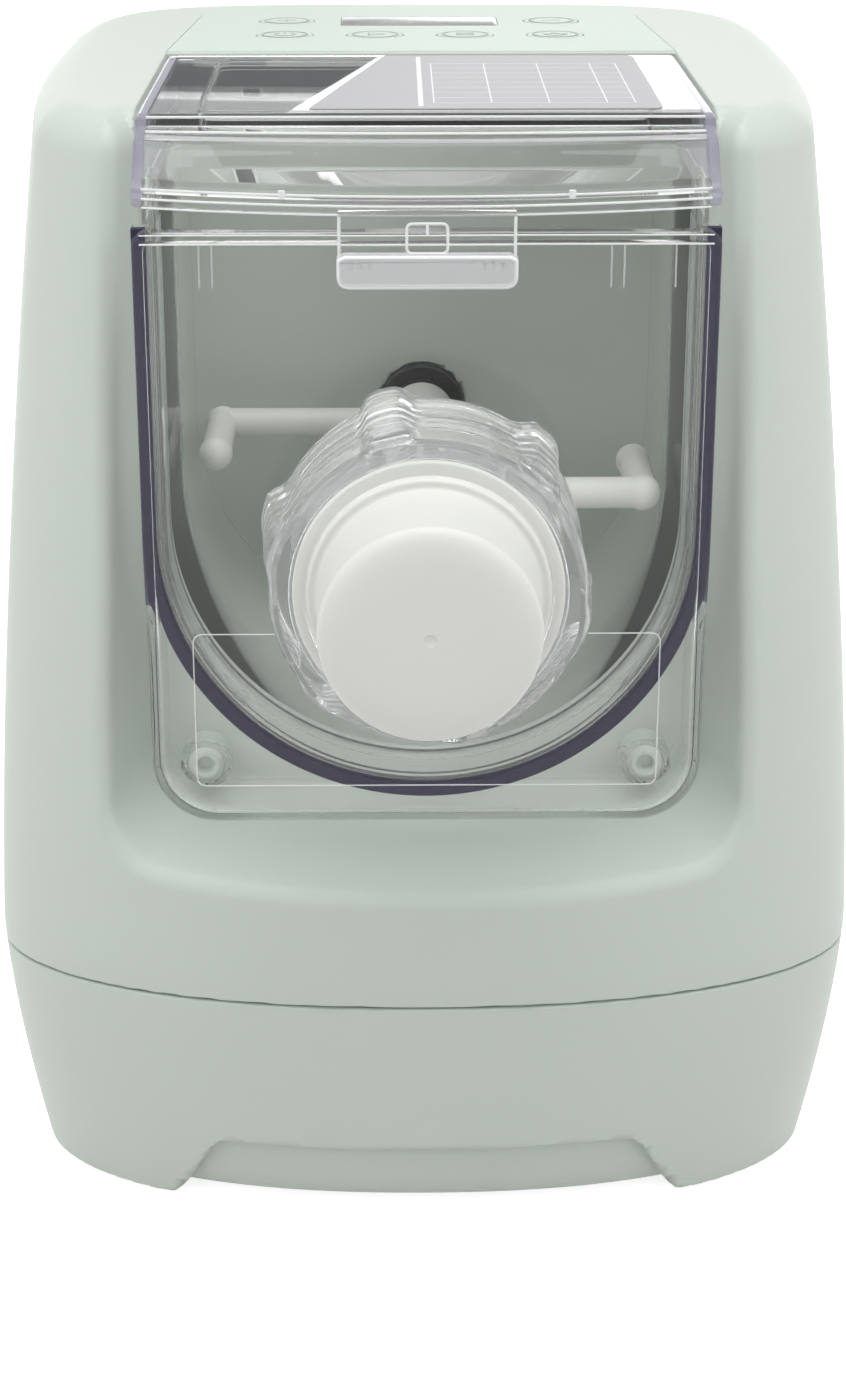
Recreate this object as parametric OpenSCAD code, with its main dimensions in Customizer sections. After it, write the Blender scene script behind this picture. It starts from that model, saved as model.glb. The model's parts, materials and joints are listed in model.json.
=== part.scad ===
// Electric pasta maker: a moulded housing with a clear mixing bay, a geared
// motor behind it, and an extrusion nozzle that drops the noodles in front.
// Local frame: x to the right, y to the back from the front panel's face, z up.

/* [Housing] */
// Widest part of the housing, at the belly
body_w = 235; // [230:1:250]
// Height from the floor to the top of the housing
body_h = 284; // [280:1:292]
// Depth from the front panel's face to the back of the housing
body_d = 248; // [246:1:262]
// Height of the widest ring of the housing
belly_z = 70; // [60:1:80]
// Height of the joint between the housing and the base
seam_z = 64; // [60:1:70]
// How far each side draws in from the belly to the top
side_taper = 15.5; // [9:0.5:17]
// How far each side draws in from the belly to the floor
base_taper = 9.8; // [6:0.2:12]
// How far the belly stands in front of the front panel's face
belly_bulge = 8.5; // [6:0.5:10]
// How far the front leans back from the belly to the top
front_lean = 11; // [8:0.5:13]
// Depth of the curve round the front corners
corner_d = 48; // [44:1:54]
// Rounding of the top edge
top_r = 9.5; // [8:0.5:12]
// Wall of the moulded shells
wall = 3; // [2.6:0.1:3.4]

/* [Front recess and panel] */
// Width of the clear front panel
panel_w = 137; // [134:0.5:139]
// Height of the front panel's lower edge
panel_z0 = 111; // [109:0.5:114]
// How far the front panel's upper edge lies below the housing's top
lid_drop = 20; // [19:0.5:22]
// Radius of the front panel's lower corners
panel_r = 16; // [12:0.5:18]
// Rounding of the front panel's front edge
panel_edge_r = 6; // [3:0.5:8]
// Wall of the clear mouldings
clear_t = 2.5; // [2:0.1:3]
// Depth of the front panel's lower box
panel_d = 29; // [26:0.5:30]
// Gap round the front panel in its recess
panel_gap = 1.1; // [0.6:0.1:1.6]
// How far the recess widens on each side for each millimetre of depth
side_bevel = 0.47; // [0.3:0.01:0.6]
// How far the recess drops for each millimetre of depth
sill_bevel = 0.39; // [0.3:0.01:0.5]

/* [Mixing bay] */
// How far the chamber's flange stays above the front panel's lower edge
bay_margin = 6; // [5:0.2:8]
// How far the chamber's flange stands out of its wall
flange_lip = 2.8; // [2.2:0.1:4]
// Width of the gasket
gasket_w = 3.35; // [3:0.05:4]
// Wall of the mixing chamber
chamber_t = 2.6; // [2:0.1:2.8]
// How far the mixing chamber reaches behind the recess floor
chamber_l = 94; // [91:0.5:95]
// Thickness of the gasket between the chamber and the front panel
gasket_t = 3; // [2.5:0.1:4]
// Gap between the mixing arms and the chamber's wall
paddle_gap = 3.6; // [3:0.2:6]
// Thickness of the mixing arms
paddle_t = 8; // [6:0.5:9]

/* [Nozzle] */
// Inner radius of the extrusion barrel
barrel_r = 22; // [20:0.2:23]
// Outer radius of the threaded sleeve
sleeve_r = 31.6; // [31:0.1:32.4]
// How far the barrel stands out from the front panel
barrel_l = 33; // [31:0.5:36]
// Outer radius of the ring nut between its lugs
nut_r = 36; // [35.4:0.1:38]
// How far the lugs stand out of the ring nut
lug_out = 3.4; // [2:0.1:4]
// Number of lugs round the ring nut
lug_n = 6; // [4:1:8]
// Outer radius of the nozzle tube
tube_r = 24; // [23:0.2:25.5]
// How far the nozzle tube stands out of the ring nut
tube_out = 29; // [27:0.5:32]
// Diameter of the die's holes
die_hole_d = 2.6; // [1.6:0.1:3]
// Width of the die
die_w = 29; // [24:0.5:31]

/* [Lid] */
// Height of the lid's front flange
flange_h = 4.5; // [3.5:0.1:6]
// Width of the handle tab
tab_w = 41; // [34:0.5:50]
// Height of the handle tab
tab_h = 16; // [12:0.5:20]
// Radius of the lid's hinge pins
lid_pin_r = 2; // [1.6:0.1:2.4]
// Running clearance round pins and shafts
run_gap = 0.05; // [0.03:0.01:0.09]

/* [Control panel] */
// Diameter of a key
key_d = 16; // [13:0.5:18]
// Travel of a key
key_travel = 0.8; // [0.4:0.1:1]
// Width of the display window
display_w = 46; // [40:0.5:50]
// Depth of the display window
display_d = 21; // [16:0.5:22]
// Thickness of the control panel insert
insert_t = 2.5; // [2:0.1:3]

/* [Drive] */
// Module of the output gear pair
gear_m_out = 1.5; // [1.4:0.05:1.6]
// Module of the motor gear pair
gear_m_in = 1; // [0.9:0.05:1.1]
// Teeth of each wheel
wheel_teeth = 60; // [56:1:62]
// Teeth of each pinion
pinion_teeth = 12; // [12:1:14]
// Radius of the drive shaft
shaft_r = 5; // [4.5:0.1:5.5]
// Outer radius of the motor
motor_r = 34; // [30:0.5:36]
// Length of the motor
motor_l = 60; // [54:0.5:62]

/* [Base] */
// Height of the arch between the front feet
arch_h = 20; // [15:0.5:24]
// Width of the arch's flat top
arch_w = 104; // [90:1:112]
// Radius of a rubber foot
foot_r = 9; // [7:0.5:10]
// How far the shell stands off the floor on its rubber feet
foot_out = 1.5; // [1:0.1:2.5]

/* [Hidden] */
$fn = 48;

sage = [0.73, 0.77, 0.72];
mint = [0.86, 0.92, 0.87];
clear = [0.86, 0.86, 0.89, 0.5];
navy = [0.25, 0.24, 0.33];
white = [0.93, 0.93, 0.92];
steel = [0.75, 0.76, 0.78];
board_green = [0.12, 0.38, 0.24];

eps = 0.01;
touch = 0.4;                          // gap between pieces that nearly meet
half_w = panel_w / 2;
panel_z1 = body_h - lid_drop;
recess_x = half_w + panel_gap;        // half width of the recess at its floor
recess_z = panel_z0 - panel_gap - touch;
flange_t = 3;                         // chamber flange
floor_y = panel_d + 1;                // recess floor, a little behind the panel's rim
mouth_y = panel_edge_r + gasket_t;    // front of the mixing chamber
flange_r = recess_x - 0.6;
gasket_r = flange_r - gasket_w;
chamber_r = flange_r - flange_lip - chamber_t;
axis_z = panel_z0 + bay_margin + flange_r;   // height of the mixing and extrusion axis
paddle_reach = chamber_r - paddle_gap;
bay_r = chamber_r + chamber_t + touch;
chamber_y1 = floor_y + chamber_l;
bay_y1 = chamber_y1 + 4;              // front face of the bulkhead
bulk_y1 = bay_y1 + wall;              // back face of the bulkhead
seat_z = body_h - 15;                 // ledge that the lid hangs over
chamber_top = seat_z - 0.5;

// Interlock window behind the lid
sensor_x = 22 - half_w;
sensor_z = body_h - 9;
sensor_w = 5.4;
sensor_h = 8;

// Lid
lid_half = half_w + 0.1;
lid_r = 3.5;                          // bead round the lid's hinge line
hinge_y = bulk_y1 - lid_r - 0.5;
hinge_z = body_h - lid_r - 0.3;
lid_y0 = floor_y - 6;                 // straight front edge of the lid's top
flange_bow = 14;                      // how far the flange bows forward
flange_y = -4;
flange_z = panel_z1 + 1.5;
skirt_z = seat_z + 0.6;

// Nozzle
seat_y = -barrel_l;                   // face that the nozzle seals on
head_y0 = seat_y - 0.3;
head_y1 = head_y0 - 4.2;              // front of the nozzle's flange
lip_y0 = head_y1 - 0.3;
nut_y1 = lip_y0 - 3.2;                // front of the ring nut
nut_y0 = -3;
tip_y = nut_y1 - tube_out;
nut_bore = sleeve_r + touch;
lip_bore = nut_bore - 3.6;
tube_t = 3;
die_y = tip_y + 17;                   // centre of the die
die_l = 20;

// Drive
shaft_y0 = chamber_y1 - 19;
box_y0 = bulk_y1 + 6;                 // gearbox front plate
box_t = 3;
wheel_w = 10;
out_y = box_y0 + box_t + 7;           // output wheel
in_y = out_y + wheel_w + 1.5;         // motor-side wheel
in_w = 6;
box_y1 = in_y + in_w + 3;             // cover
motor_y = box_y1 + box_t;
idler_a = 228.2;                      // direction from the output axis to the idler
motor_a = -39;                        // direction from the idler to the motor
dist_out = gear_m_out * (wheel_teeth + pinion_teeth) / 2;
dist_in = gear_m_in * (wheel_teeth + pinion_teeth) / 2;
idler_x = dist_out * cos(idler_a);
idler_z = axis_z + dist_out * sin(idler_a);
motor_x = idler_x + dist_in * cos(motor_a);
motor_z = idler_z + dist_in * sin(motor_a);
wheel_out_r = gear_m_out * wheel_teeth / 2;
wheel_in_r = gear_m_in * wheel_teeth / 2;
idler_r = 4;
rotor_r = 3;
bearing_r = 11;
bearing_w = 7;

// Control panel
insert_top = body_h + 0.3;
insert_z = insert_top - insert_t;
insert_y0 = bulk_y1 + 1.2;
insert_l = 94;
insert_w0 = 2 * recess_x;
insert_w1 = insert_w0 - 11;
top_wall = insert_t + 3;              // housing roof under the insert
row_1 = insert_y0 + 33;
row_2 = row_1 + 31;
keys = [[-38.5, row_1], [-12.8, row_1], [12.8, row_1], [38.5, row_1],
    [-39, row_2], [39, row_2]];
display_y = row_2;
board_z = insert_z - 11.2;            // top face of the control board
board_t = 1.6;
board_w = 108;
board_d = 62;
board_y = (row_1 + row_2) / 2;
board_hole = [board_w / 2 - 5, board_d / 2 - 5];

// Base
foot_in = 18.7;                       // from the side to the middle of a foot
foot_x = side_x(foot_out) - foot_in;
boss_h = 24;                          // height of the bosses over the feet
arch_d = 32;                          // depth of the arches
foot_y = [46, body_d - 43];
pan_gap = wall + 0.4;
pan_z = foot_out + 1;
post_r = 5.5;
post_y = [60, body_d - 60];
screw_r = 1.5;
inlet_w = 27;
inlet_h = 20;
inlet_z = 40;
vent_n = 9;
vent_z = 92;
pcb_z = 13;
pcb_y = 96;
pcb_w = 110;
pcb_d = 66;

// The model stands with the middle of its bounding box over the origin
y_mid = (tip_y + body_d) / 2;

// ---- Outline of the housing -------------------------------------------

function rise(z) = max(0, z - belly_z) / (body_h - belly_z);
function drop(z) = max(0, belly_z - z) / belly_z;
function side_x(z) = body_w / 2 - side_taper * pow(rise(z), 1.7)
    - base_taper * pow(drop(z), 1.5);
function front_y(z) = -belly_bulge + front_lean * pow(rise(z), 1.4)
    + 9 * pow(drop(z), 1.5);
function rear_y(z) = body_d - 8 * pow(drop(z), 1.5);
// The sides spread towards the back, more so near the top
wide_y = 140;
function spread(z, y) = 1 - (0.08 + 0.113 * rise(z))
    * pow(max(0, wide_y - y) / (wide_y + belly_bulge), 2);
rear_y0 = wide_y + 10;

// Half of the plan outline at a height, from the front's middle to the back's
function half_plan(z, inset, n) = let (
    a = side_x(z) - inset,
    y0 = front_y(z) + corner_d,
    b = corner_d - inset,
    c = rear_y(z) - inset - rear_y0)
    concat(
        [for (i = [0:n]) let (f = 90 * i / n, y = y0 - b * pow(cos(f), 2 / 2.2))
            [a * spread(z, y) * pow(sin(f), 2 / 2.2), y]],
        [for (i = [1:n / 2]) let (y = y0 + (rear_y0 - y0) * i / (n / 2))
            [a * spread(z, y), y]],
        [for (i = [1:n]) let (f = 90 - 90 * i / n)
            [a * pow(sin(f), 2 / 4), rear_y0 + c * pow(cos(f), 2 / 4)]]);
function plan(z, inset, n) = let (h = half_plan(z, inset, n), m = len(h))
    concat(h, [for (i = [m - 2:-1:1]) [-h[i][0], h[i][1]]]);
function ring(z, inset, n) = [for (p = plan(z, inset, n)) [p[0], p[1], z]];
// Half width of the housing at a height and a depth, away from its corners
function plan_x(z, y) = side_x(z) * spread(z, y)
    * pow(1 - pow(max(0, y - rear_y0) / (rear_y(z) - rear_y0), 4), 1 / 4);

// Where the screws between the housing and the base stand
function screw_x(y) = plan_x(seam_z, y) - wall - post_r + 0.5;

// Outer face of the power inlet
inlet_y = rear_y(inlet_z + inlet_h / 2) - 0.4;

// A solid through a list of rings with equal point counts. A strip's ends are closed
// by faces from one side of its wall to the other.
module loft(rings, strip = false) {
    n = len(rings[0]);
    m = len(rings);
    end = strip ? [for (i = [0:n / 2 - 2]) [i, i + 1, n - 2 - i, n - 1 - i]]
        : [[for (i = [0:n - 1]) i]];
    polyhedron(
        points = [for (r = rings) for (p = r) p],
        faces = concat(
            end,
            [for (j = [0:m - 2]) for (i = [0:n - 1]) let (k = (i + 1) % n)
                [j * n + i, (j + 1) * n + i, (j + 1) * n + k]],
            [for (j = [0:m - 2]) for (i = [0:n - 1]) let (k = (i + 1) % n)
                [j * n + i, (j + 1) * n + k, j * n + k]],
            [for (f = end) [for (k = [len(f) - 1:-1:0]) (m - 1) * n + f[k]]]));
}

module place() {
    translate([0, -y_mid, 0]) children();
}

// A flat shape in x and z, thickened from y0 towards the back
module from_y(y0, h) {
    translate([0, y0 + h, 0]) rotate([90, 0, 0]) linear_extrude(h) children();
}

module y_cyl(y0, h, r, x = 0, z = axis_z) {
    translate([x, y0 + h, z]) rotate([90, 0, 0]) cylinder(h = h, r = r);
}

// A turned piece round a line along y, from points of radius and y
module y_turned(points, x = 0, z = axis_z) {
    translate([x, 0, z]) rotate([90, 0, 0])
        rotate_extrude() polygon([for (p = points) [p[0], -p[1]]]);
}

module block(x0, x1, y0, y1, z0, z1) {
    translate([x0, y0, z0]) cube([x1 - x0, y1 - y0, z1 - z0]);
}

function arc(cx, cy, r, a0, a1, n) =
    [for (i = [0:n]) let (a = a0 + (a1 - a0) * i / n) [cx + r * cos(a), cy + r * sin(a)]];

// U shape: a half circle round the axis with straight sides up to a height
function u_shape(r, top) = concat([[-r, top]], arc(0, axis_z, r, 180, 360, 40), [[r, top]]);

// Upright rectangle with round lower corners
function tray_shape(x, z0, z1, r) = concat(
    arc(-x + r, z0 + r, r, 180, 270, 7), arc(x - r, z0 + r, r, 270, 360, 7),
    [[x, z1], [-x, z1]]);
function upright(shape, y) = [for (p = shape) [p[0], y, p[1]]];

// ---- Casing -------------------------------------------------------------

body_levels = concat([seam_z], [for (i = [0:9])
    seam_z + 12 + (body_h - top_r - seam_z - 12) * i / 9]);

module outer_form() {
    loft(concat(
        [for (z = body_levels) ring(z, 0, 14)],
        [for (i = [1:6]) let (f = 15 * i, z = body_h - top_r + top_r * sin(f))
            ring(z, top_r * (1 - cos(f)), 14)]));
}

module inner_form() {
    z1 = body_h - top_wall;
    loft([for (i = [0:6]) let (z = seam_z - 1 + (z1 - seam_z + 1) * i / 6)
        ring(z, wall + 8 * pow(i / 6, 8), 8)]);
}

// Opening of the front recess, growing towards the front
module recess_form(grow, y1) {
    function shape(y) = let (d = floor_y - y)
        tray_shape(recess_x + side_bevel * d + grow, recess_z - sill_bevel * d - grow,
            body_h + 30, panel_r - 0.15 * d + grow);
    loft([for (y = [y1, -30]) upright(shape(y), y)]);
}

module inset_outline(gap) {
    w0 = insert_w0 / 2 - gap;
    w1 = insert_w1 / 2 - gap;
    y0 = insert_y0 + gap;
    y1 = insert_y0 + insert_l - gap;
    r = 16;
    polygon(concat([[-w0, y0], [w0, y0]],
        arc(w1 - r, y1 - r, r, 4, 90, 8), arc(-w1 + r, y1 - r, r, 90, 176, 8)));
}

module upper_housing() {
    color(sage) place() difference() {
        outer_form();
        difference() {
            inner_form();
            recess_form(wall, floor_y + wall);
            from_y(floor_y, bulk_y1 - floor_y) polygon(u_shape(bay_r + wall, body_h));
            block(-recess_x - wall, recess_x + wall, bay_y1, bulk_y1, seam_z - 2, body_h);
            block(-recess_x - wall, recess_x + wall, floor_y, bulk_y1 + wall, seat_z - 3,
                body_h);
            for (s = [-1, 1], y = post_y)
                translate([s * screw_x(y), y, seam_z - 2])
                    cylinder(h = 24, r = post_r);
            for (s = [-1, 1], t = [-1, 1])
                translate([s * board_hole[0], board_y + t * board_hole[1], board_z])
                    cylinder(h = body_h - board_z, r = 3.2);
        }
        recess_form(0, floor_y);
        from_y(floor_y - 1, bay_y1 - floor_y + 1) polygon(u_shape(bay_r, body_h + 1));
        block(-recess_x, recess_x, -30, bulk_y1, seat_z, body_h + 5);
        translate([0, 0, insert_z]) linear_extrude(insert_t + 5) inset_outline(-0.2);
        block(-52, 52, row_1 - 13, row_2 + 13, insert_z - 5, insert_z + 1);
        for (s = [-1, 1]) {
            translate([s * (recess_x - 1), hinge_y, hinge_z]) rotate([0, s * 90, 0])
                cylinder(h = 4.4, r = lid_pin_r + run_gap);
            for (y = post_y)
                translate([s * screw_x(y), y, seam_z - 1])
                    cylinder(h = 15, r = screw_r);
            for (t = [-1, 1])
                translate([s * board_hole[0], board_y + t * board_hole[1], board_z - 1])
                    cylinder(h = 7, r = 1.1);
            y_cyl(floor_y - 1, wall + 2, 3.1, s * post_x, post_z);
        }
        y_cyl(bay_y1 - 1, wall + 2, 12);
        for (p = mount_points) y_cyl(bay_y1 - 1, wall + 2, screw_r + 0.2, p[0], p[1]);
        block(sensor_x - sensor_w / 2 - 0.1, sensor_x + sensor_w / 2 + 0.1, bulk_y1 - 1,
            bulk_y1 + wall + 1, sensor_z - sensor_h / 2 - 0.1, sensor_z + sensor_h / 2 + 0.1);
        for (i = [0:vent_n - 1])
            block(-38, 38, body_d - 14, body_d + 5, vent_z + 7 * i, vent_z + 7 * i + 3.2);
    }
}

module base_form(inset, z0, z1, n, m) {
    loft([for (i = [0:m]) ring(z0 + (z1 - z0) * i / m, inset, n)]);
}

// Arch between two feet: a flat top with ends that fall in an S curve
module arch_outline() {
    s = 17;
    polygon(concat([[-arch_w / 2 - s, -5]],
        [for (t = [0:0.125:1]) [-arch_w / 2 - s * (1 - t),
            foot_out + (arch_h - foot_out) * (1 - cos(180 * t)) / 2]],
        [for (t = [1:-0.125:0]) [arch_w / 2 + s * (1 - t),
            foot_out + (arch_h - foot_out) * (1 - cos(180 * t)) / 2]],
        [[arch_w / 2 + s, -5]]));
}

module at_feet() {
    for (s = [-1, 1], y = foot_y) translate([s * foot_x, y, 0]) children();
}

module base_shell() {
    color(sage) place() difference() {
        base_form(0, foot_out, seam_z, 14, 5);
        difference() {
            base_form(wall, foot_out - 1, seam_z + 1, 8, 3);
            at_feet() cylinder(h = boss_h, r = foot_r + 5);
            for (s = [-1, 1], y = post_y)
                translate([s * screw_x(y), y, seam_z - 12]) cylinder(h = 20, r = post_r);
        }
        from_y(-30, 30 + arch_d) arch_outline();
        from_y(body_d - arch_d, arch_d + 20) arch_outline();
        at_feet() translate([0, 0, -1]) cylinder(h = foot_out + 4.5, r = foot_r + 0.1);
        for (s = [-1, 1], y = post_y)
            translate([s * screw_x(y), y, seam_z - 20])
                cylinder(h = 30, r = screw_r + 0.2);
        block(-inlet_w / 2, inlet_w / 2, body_d - 20, body_d + 5,
            inlet_z - inlet_h / 2, inlet_z + inlet_h / 2);
    }
}

module bottom_pan() {
    color(sage) place() difference() {
        base_form(pan_gap, pan_z, pan_z + 18, 8, 2);
        base_form(pan_gap + wall, pan_z + 2.5, pan_z + 19, 8, 2);
        at_feet() translate([0, 0, -1]) cylinder(h = boss_h + 6, r = foot_r + 5.4);
        for (i = [-3:3])
            block(-35, 35, 170 + 8 * i, 173.2 + 8 * i, pan_z - 1, pan_z + 3);
    }
}

module rubber_feet() {
    color([0.15, 0.15, 0.16]) place() at_feet() rotate_extrude()
        polygon([[0, 0], [foot_r - 1, 0], [foot_r, 1], [foot_r, foot_out + 3.5],
            [0, foot_out + 3.5]]);
}

// ---- Control panel ------------------------------------------------------

module control_panel() {
    color(mint) place() difference() {
        translate([0, 0, insert_z]) linear_extrude(insert_t) inset_outline(0);
        for (k = keys) translate([k[0], k[1], insert_z - 1])
            cylinder(h = insert_t + 2, r = key_d / 2 + 0.25);
        block(-display_w / 2 + 1.5, display_w / 2 - 1.5, display_y - display_d / 2 + 1.5,
            display_y + display_d / 2 - 1.5, insert_z - 1, insert_top + 1);
        block(-display_w / 2, display_w / 2, display_y - display_d / 2,
            display_y + display_d / 2, insert_top - 1.4, insert_top + 1);
    }
}

module display_window() {
    color([0.72, 0.74, 0.72]) place()
        block(-display_w / 2 + 0.1, display_w / 2 - 0.1, display_y - display_d / 2 + 0.1,
            display_y + display_d / 2 - 0.1, insert_top - 1.4, insert_top - 0.1);
}

module display_module() {
    color([0.1, 0.1, 0.11]) place()
        block(-display_w / 2 + 3, display_w / 2 - 3, display_y - display_d / 2 + 3,
            display_y + display_d / 2 - 3, board_z, insert_top - 1.8);
}

// Key number i: a domed cap, a rim that keeps it under the panel, and a stem
module key_cap(i) {
    color(mint) place() translate([keys[i][0], keys[i][1], 0]) rotate_extrude()
        polygon([[0, board_z + 4 + key_travel + 0.1], [2.6, board_z + 4 + key_travel + 0.1],
            [2.6, insert_z - 2.2], [key_d / 2 + 1.2, insert_z - 2.2],
            [key_d / 2 + 1.2, insert_z - 0.3], [key_d / 2, insert_z - 0.3],
            [key_d / 2, insert_top - 0.2], [key_d / 2 - 0.5, insert_top + 0.2],
            [0, insert_top + 0.3]]);
}

module key_power() { key_cap(0); }
module key_start() { key_cap(1); }
module key_program() { key_cap(2); }
module key_dough() { key_cap(3); }
module key_plus() { key_cap(4); }
module key_minus() { key_cap(5); }

module key_switches() {
    color([0.2, 0.2, 0.22]) place() for (k = keys) translate([k[0], k[1], board_z]) {
        translate([-4, -4, 0]) cube([8, 8, 3]);
        translate([0, 0, 3 - eps]) cylinder(h = 1, r = 1.8);
    }
}

module control_board() {
    color(board_green) place() difference() {
        block(-board_w / 2, board_w / 2, board_y - board_d / 2, board_y + board_d / 2,
            board_z - board_t, board_z);
        for (s = [-1, 1], t = [-1, 1])
            translate([s * board_hole[0], board_y + t * board_hole[1], board_z - 5])
                cylinder(h = 10, r = 1.7);
    }
}

// ---- Mixing chamber and front panel -------------------------------------

module mixing_chamber() {
    color([0.8, 0.83, 0.8]) place() difference() {
        union() {
            from_y(mouth_y, chamber_y1 - mouth_y)
                polygon(u_shape(chamber_r + chamber_t, chamber_top));
            for (y = [mouth_y, floor_y - flange_t])
                from_y(y, flange_t) polygon(u_shape(flange_r, chamber_top));
        }
        from_y(mouth_y - 1, chamber_y1 - mouth_y + 1 - 3)
            polygon(u_shape(chamber_r, chamber_top + 1));
        // In front of the ledge the walls end below the lid's flange
        block(-half_w - 5, half_w + 5, mouth_y - 1, floor_y - flange_t - 1, panel_z1, body_h);
        y_cyl(chamber_y1 - 5, 10, 9);
    }
}

module chamber_gasket() {
    color(navy) place() difference() {
        from_y(panel_edge_r, gasket_t) polygon(u_shape(flange_r, panel_z1));
        from_y(panel_edge_r - 1, gasket_t + 2) polygon(u_shape(gasket_r, panel_z1 + 1));
    }
}

post_x = half_w - 12.2;
post_z = panel_z0 + 9;
boss_r = 4.4;
boss_t = 1.8;

module front_panel() {
    function shape(inset) = tray_shape(half_w - inset, panel_z0 + inset, panel_z1 - inset,
        panel_r - inset / 2);
    color(clear) place() union() {
        difference() {
            union() {
                loft(concat(
                    [for (i = [0:3]) let (f = 90 - 30 * i, r = panel_edge_r - clear_t)
                        upright(shape(clear_t + r * (1 - cos(f))),
                            panel_edge_r - r * sin(f))],
                    [upright(shape(clear_t), panel_d), upright(shape(0), panel_d)],
                    [for (i = [0:5]) let (f = 18 * i)
                        upright(shape(panel_edge_r * (1 - cos(f))),
                            panel_edge_r * (1 - sin(f)))]));
                for (s = [-1, 1]) y_cyl(clear_t - 0.5, panel_d - clear_t + 0.5,
                    boss_r + boss_t, s * post_x, post_z);
            }
            // The chamber's mouth and its gasket take the place of the upper side walls
            from_y(panel_edge_r, panel_d) polygon(u_shape(flange_r + 0.3, body_h));
            y_cyl(-1, clear_t + 2, barrel_r + 1.5);
            for (s = [-1, 1])
                y_cyl(clear_t, panel_d, boss_r + 0.35, s * post_x, post_z);
        }
        y_turned([[barrel_r, 6], [barrel_r, seat_y], [sleeve_r, seat_y], [sleeve_r, 1],
            [sleeve_r - 2.6, 1], [sleeve_r - 2.6, seat_y + 4], [barrel_r + 3, seat_y + 4],
            [barrel_r + 3, 6]]);
        difference() {
            from_y(-0.8, 1.6) polygon(tray_shape(half_w - 11, panel_z0 + 11,
                panel_z0 + 52, 3));
            from_y(-2, 4) polygon(tray_shape(half_w - 12, panel_z0 + 12,
                panel_z0 + 51, 2));
        }
    }
}

module locating_posts() {
    color([0.7, 0.74, 0.71]) place() for (s = [-1, 1])
        y_turned([[0, floor_y - 8], [1.6, floor_y - 8], [2.4, floor_y - 10],
            [boss_r - 1, floor_y - 10], [boss_r, floor_y - 9], [boss_r, floor_y],
            [3, floor_y], [3, floor_y + wall], [0, floor_y + wall]], s * post_x, post_z);
}

// ---- Lid ------------------------------------------------------------------

// Section through the lid's front roll at a distance from the middle
function roll_section(x) = let (
    q = pow(x / lid_half, 2),
    y = flange_y + flange_bow * q,
    z = flange_z + 3.5 * q,
    top = body_h,
    t = clear_t)
    [[lid_y0 + 2, top - 0.8], [lid_y0 - 2.5, top - 1.1], [(lid_y0 + y) / 2 + 1, top - 4.8 + q],
        [y + 2, z + flange_h + 1], [y, z + flange_h], [y, z],
        [y + t, z], [y + t, z + flange_h - 1.4], [y + t + 1, z + flange_h - 0.6],
        [(lid_y0 + y) / 2 + 2, top - 7.6 + q],
        [lid_y0 - 1, top - 1 - t], [lid_y0 + 2, top - 2.1]];

module lid() {
    color(clear) place() difference() {
        union() {
            loft([for (i = [-6:6]) let (x = (lid_half - 0.2) * i / 6)
                [for (p = roll_section(x)) [x, p[0], p[1]]]], strip = true);
            block(-lid_half, lid_half, lid_y0, hinge_y, body_h - clear_t, body_h);
            for (s = [-1, 1]) {
                from_x = s < 0 ? -lid_half + 0.1 : lid_half - clear_t - 0.1;
                translate([from_x, 0, 0]) rotate([90, 0, 90]) linear_extrude(clear_t)
                    polygon([[lid_y0 + 0.5, skirt_z + 2], [lid_y0 + 3, skirt_z],
                        [hinge_y - 10, skirt_z], [hinge_y - 0.4, hinge_z - lid_r + 0.6],
                        [hinge_y - 0.4, body_h - 1], [lid_y0 + 0.5, body_h - 1]]);
            }
            translate([-lid_half + 0.3, hinge_y, hinge_z]) rotate([0, 90, 0])
                cylinder(h = 2 * lid_half - 0.6, r = lid_r);
            block(-tab_w / 2, tab_w / 2, flange_y - 1.2, flange_y + 1.3,
                flange_z - tab_h + 3, flange_z + 2);
            from_y(flange_y - 5, 6) polygon(tray_shape(tab_w / 2 + 0.4, flange_z - tab_h,
                flange_z - tab_h + 7.5, 4));
        }
        from_y(flange_y - 2, 1.4) difference() {
            square_at(9.4, flange_z - 8.5, flange_z - 1);
            square_at(8.2, flange_z - 7.6, flange_z - 1.9);
        }
        for (s = [-1, 1]) translate([s * (lid_half - 7), hinge_y, hinge_z])
            rotate([0, s * 90, 0]) cylinder(h = 10, r = lid_pin_r);
        block(sensor_x - 5, sensor_x + 5, hinge_y - 9, hinge_y - 5, body_h - 1.7, body_h + 1);
    }
}

module square_at(w, z0, z1) {
    translate([-w / 2, z0]) square([w, z1 - z0]);
}

module lid_label() {
    color([0.6, 0.6, 0.62, 0.8]) place() translate([0, 0, body_h]) linear_extrude(0.25)
        polygon([[-28, lid_y0 + 8], [57, lid_y0 + 8], [57, hinge_y - 4], [-10, hinge_y - 4]]);
}

module lid_hinge_pins() {
    color(steel) place() for (s = [-1, 1])
        translate([s * (lid_half - 7), hinge_y, hinge_z]) rotate([0, s * 90, 0])
            cylinder(h = 11.2, r = lid_pin_r);
}

module lid_magnet() {
    color([0.4, 0.4, 0.42]) place() block(sensor_x - 5, sensor_x + 5, hinge_y - 9,
        hinge_y - 5, body_h - 1.7, body_h - 0.1);
}

module interlock_window() {
    color([0.2, 0.2, 0.2]) place() difference() {
        block(sensor_x - sensor_w / 2, sensor_x + sensor_w / 2, bulk_y1 + 0.1, bulk_y1 + wall,
            sensor_z - sensor_h / 2, sensor_z + sensor_h / 2);
        block(sensor_x - sensor_w / 2 + 1.2, sensor_x + sensor_w / 2 - 1.2, bulk_y1 - 1,
            bulk_y1 + 1, sensor_z - sensor_h / 2 + 1.5, sensor_z + sensor_h / 2 - 1.5);
    }
}

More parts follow.
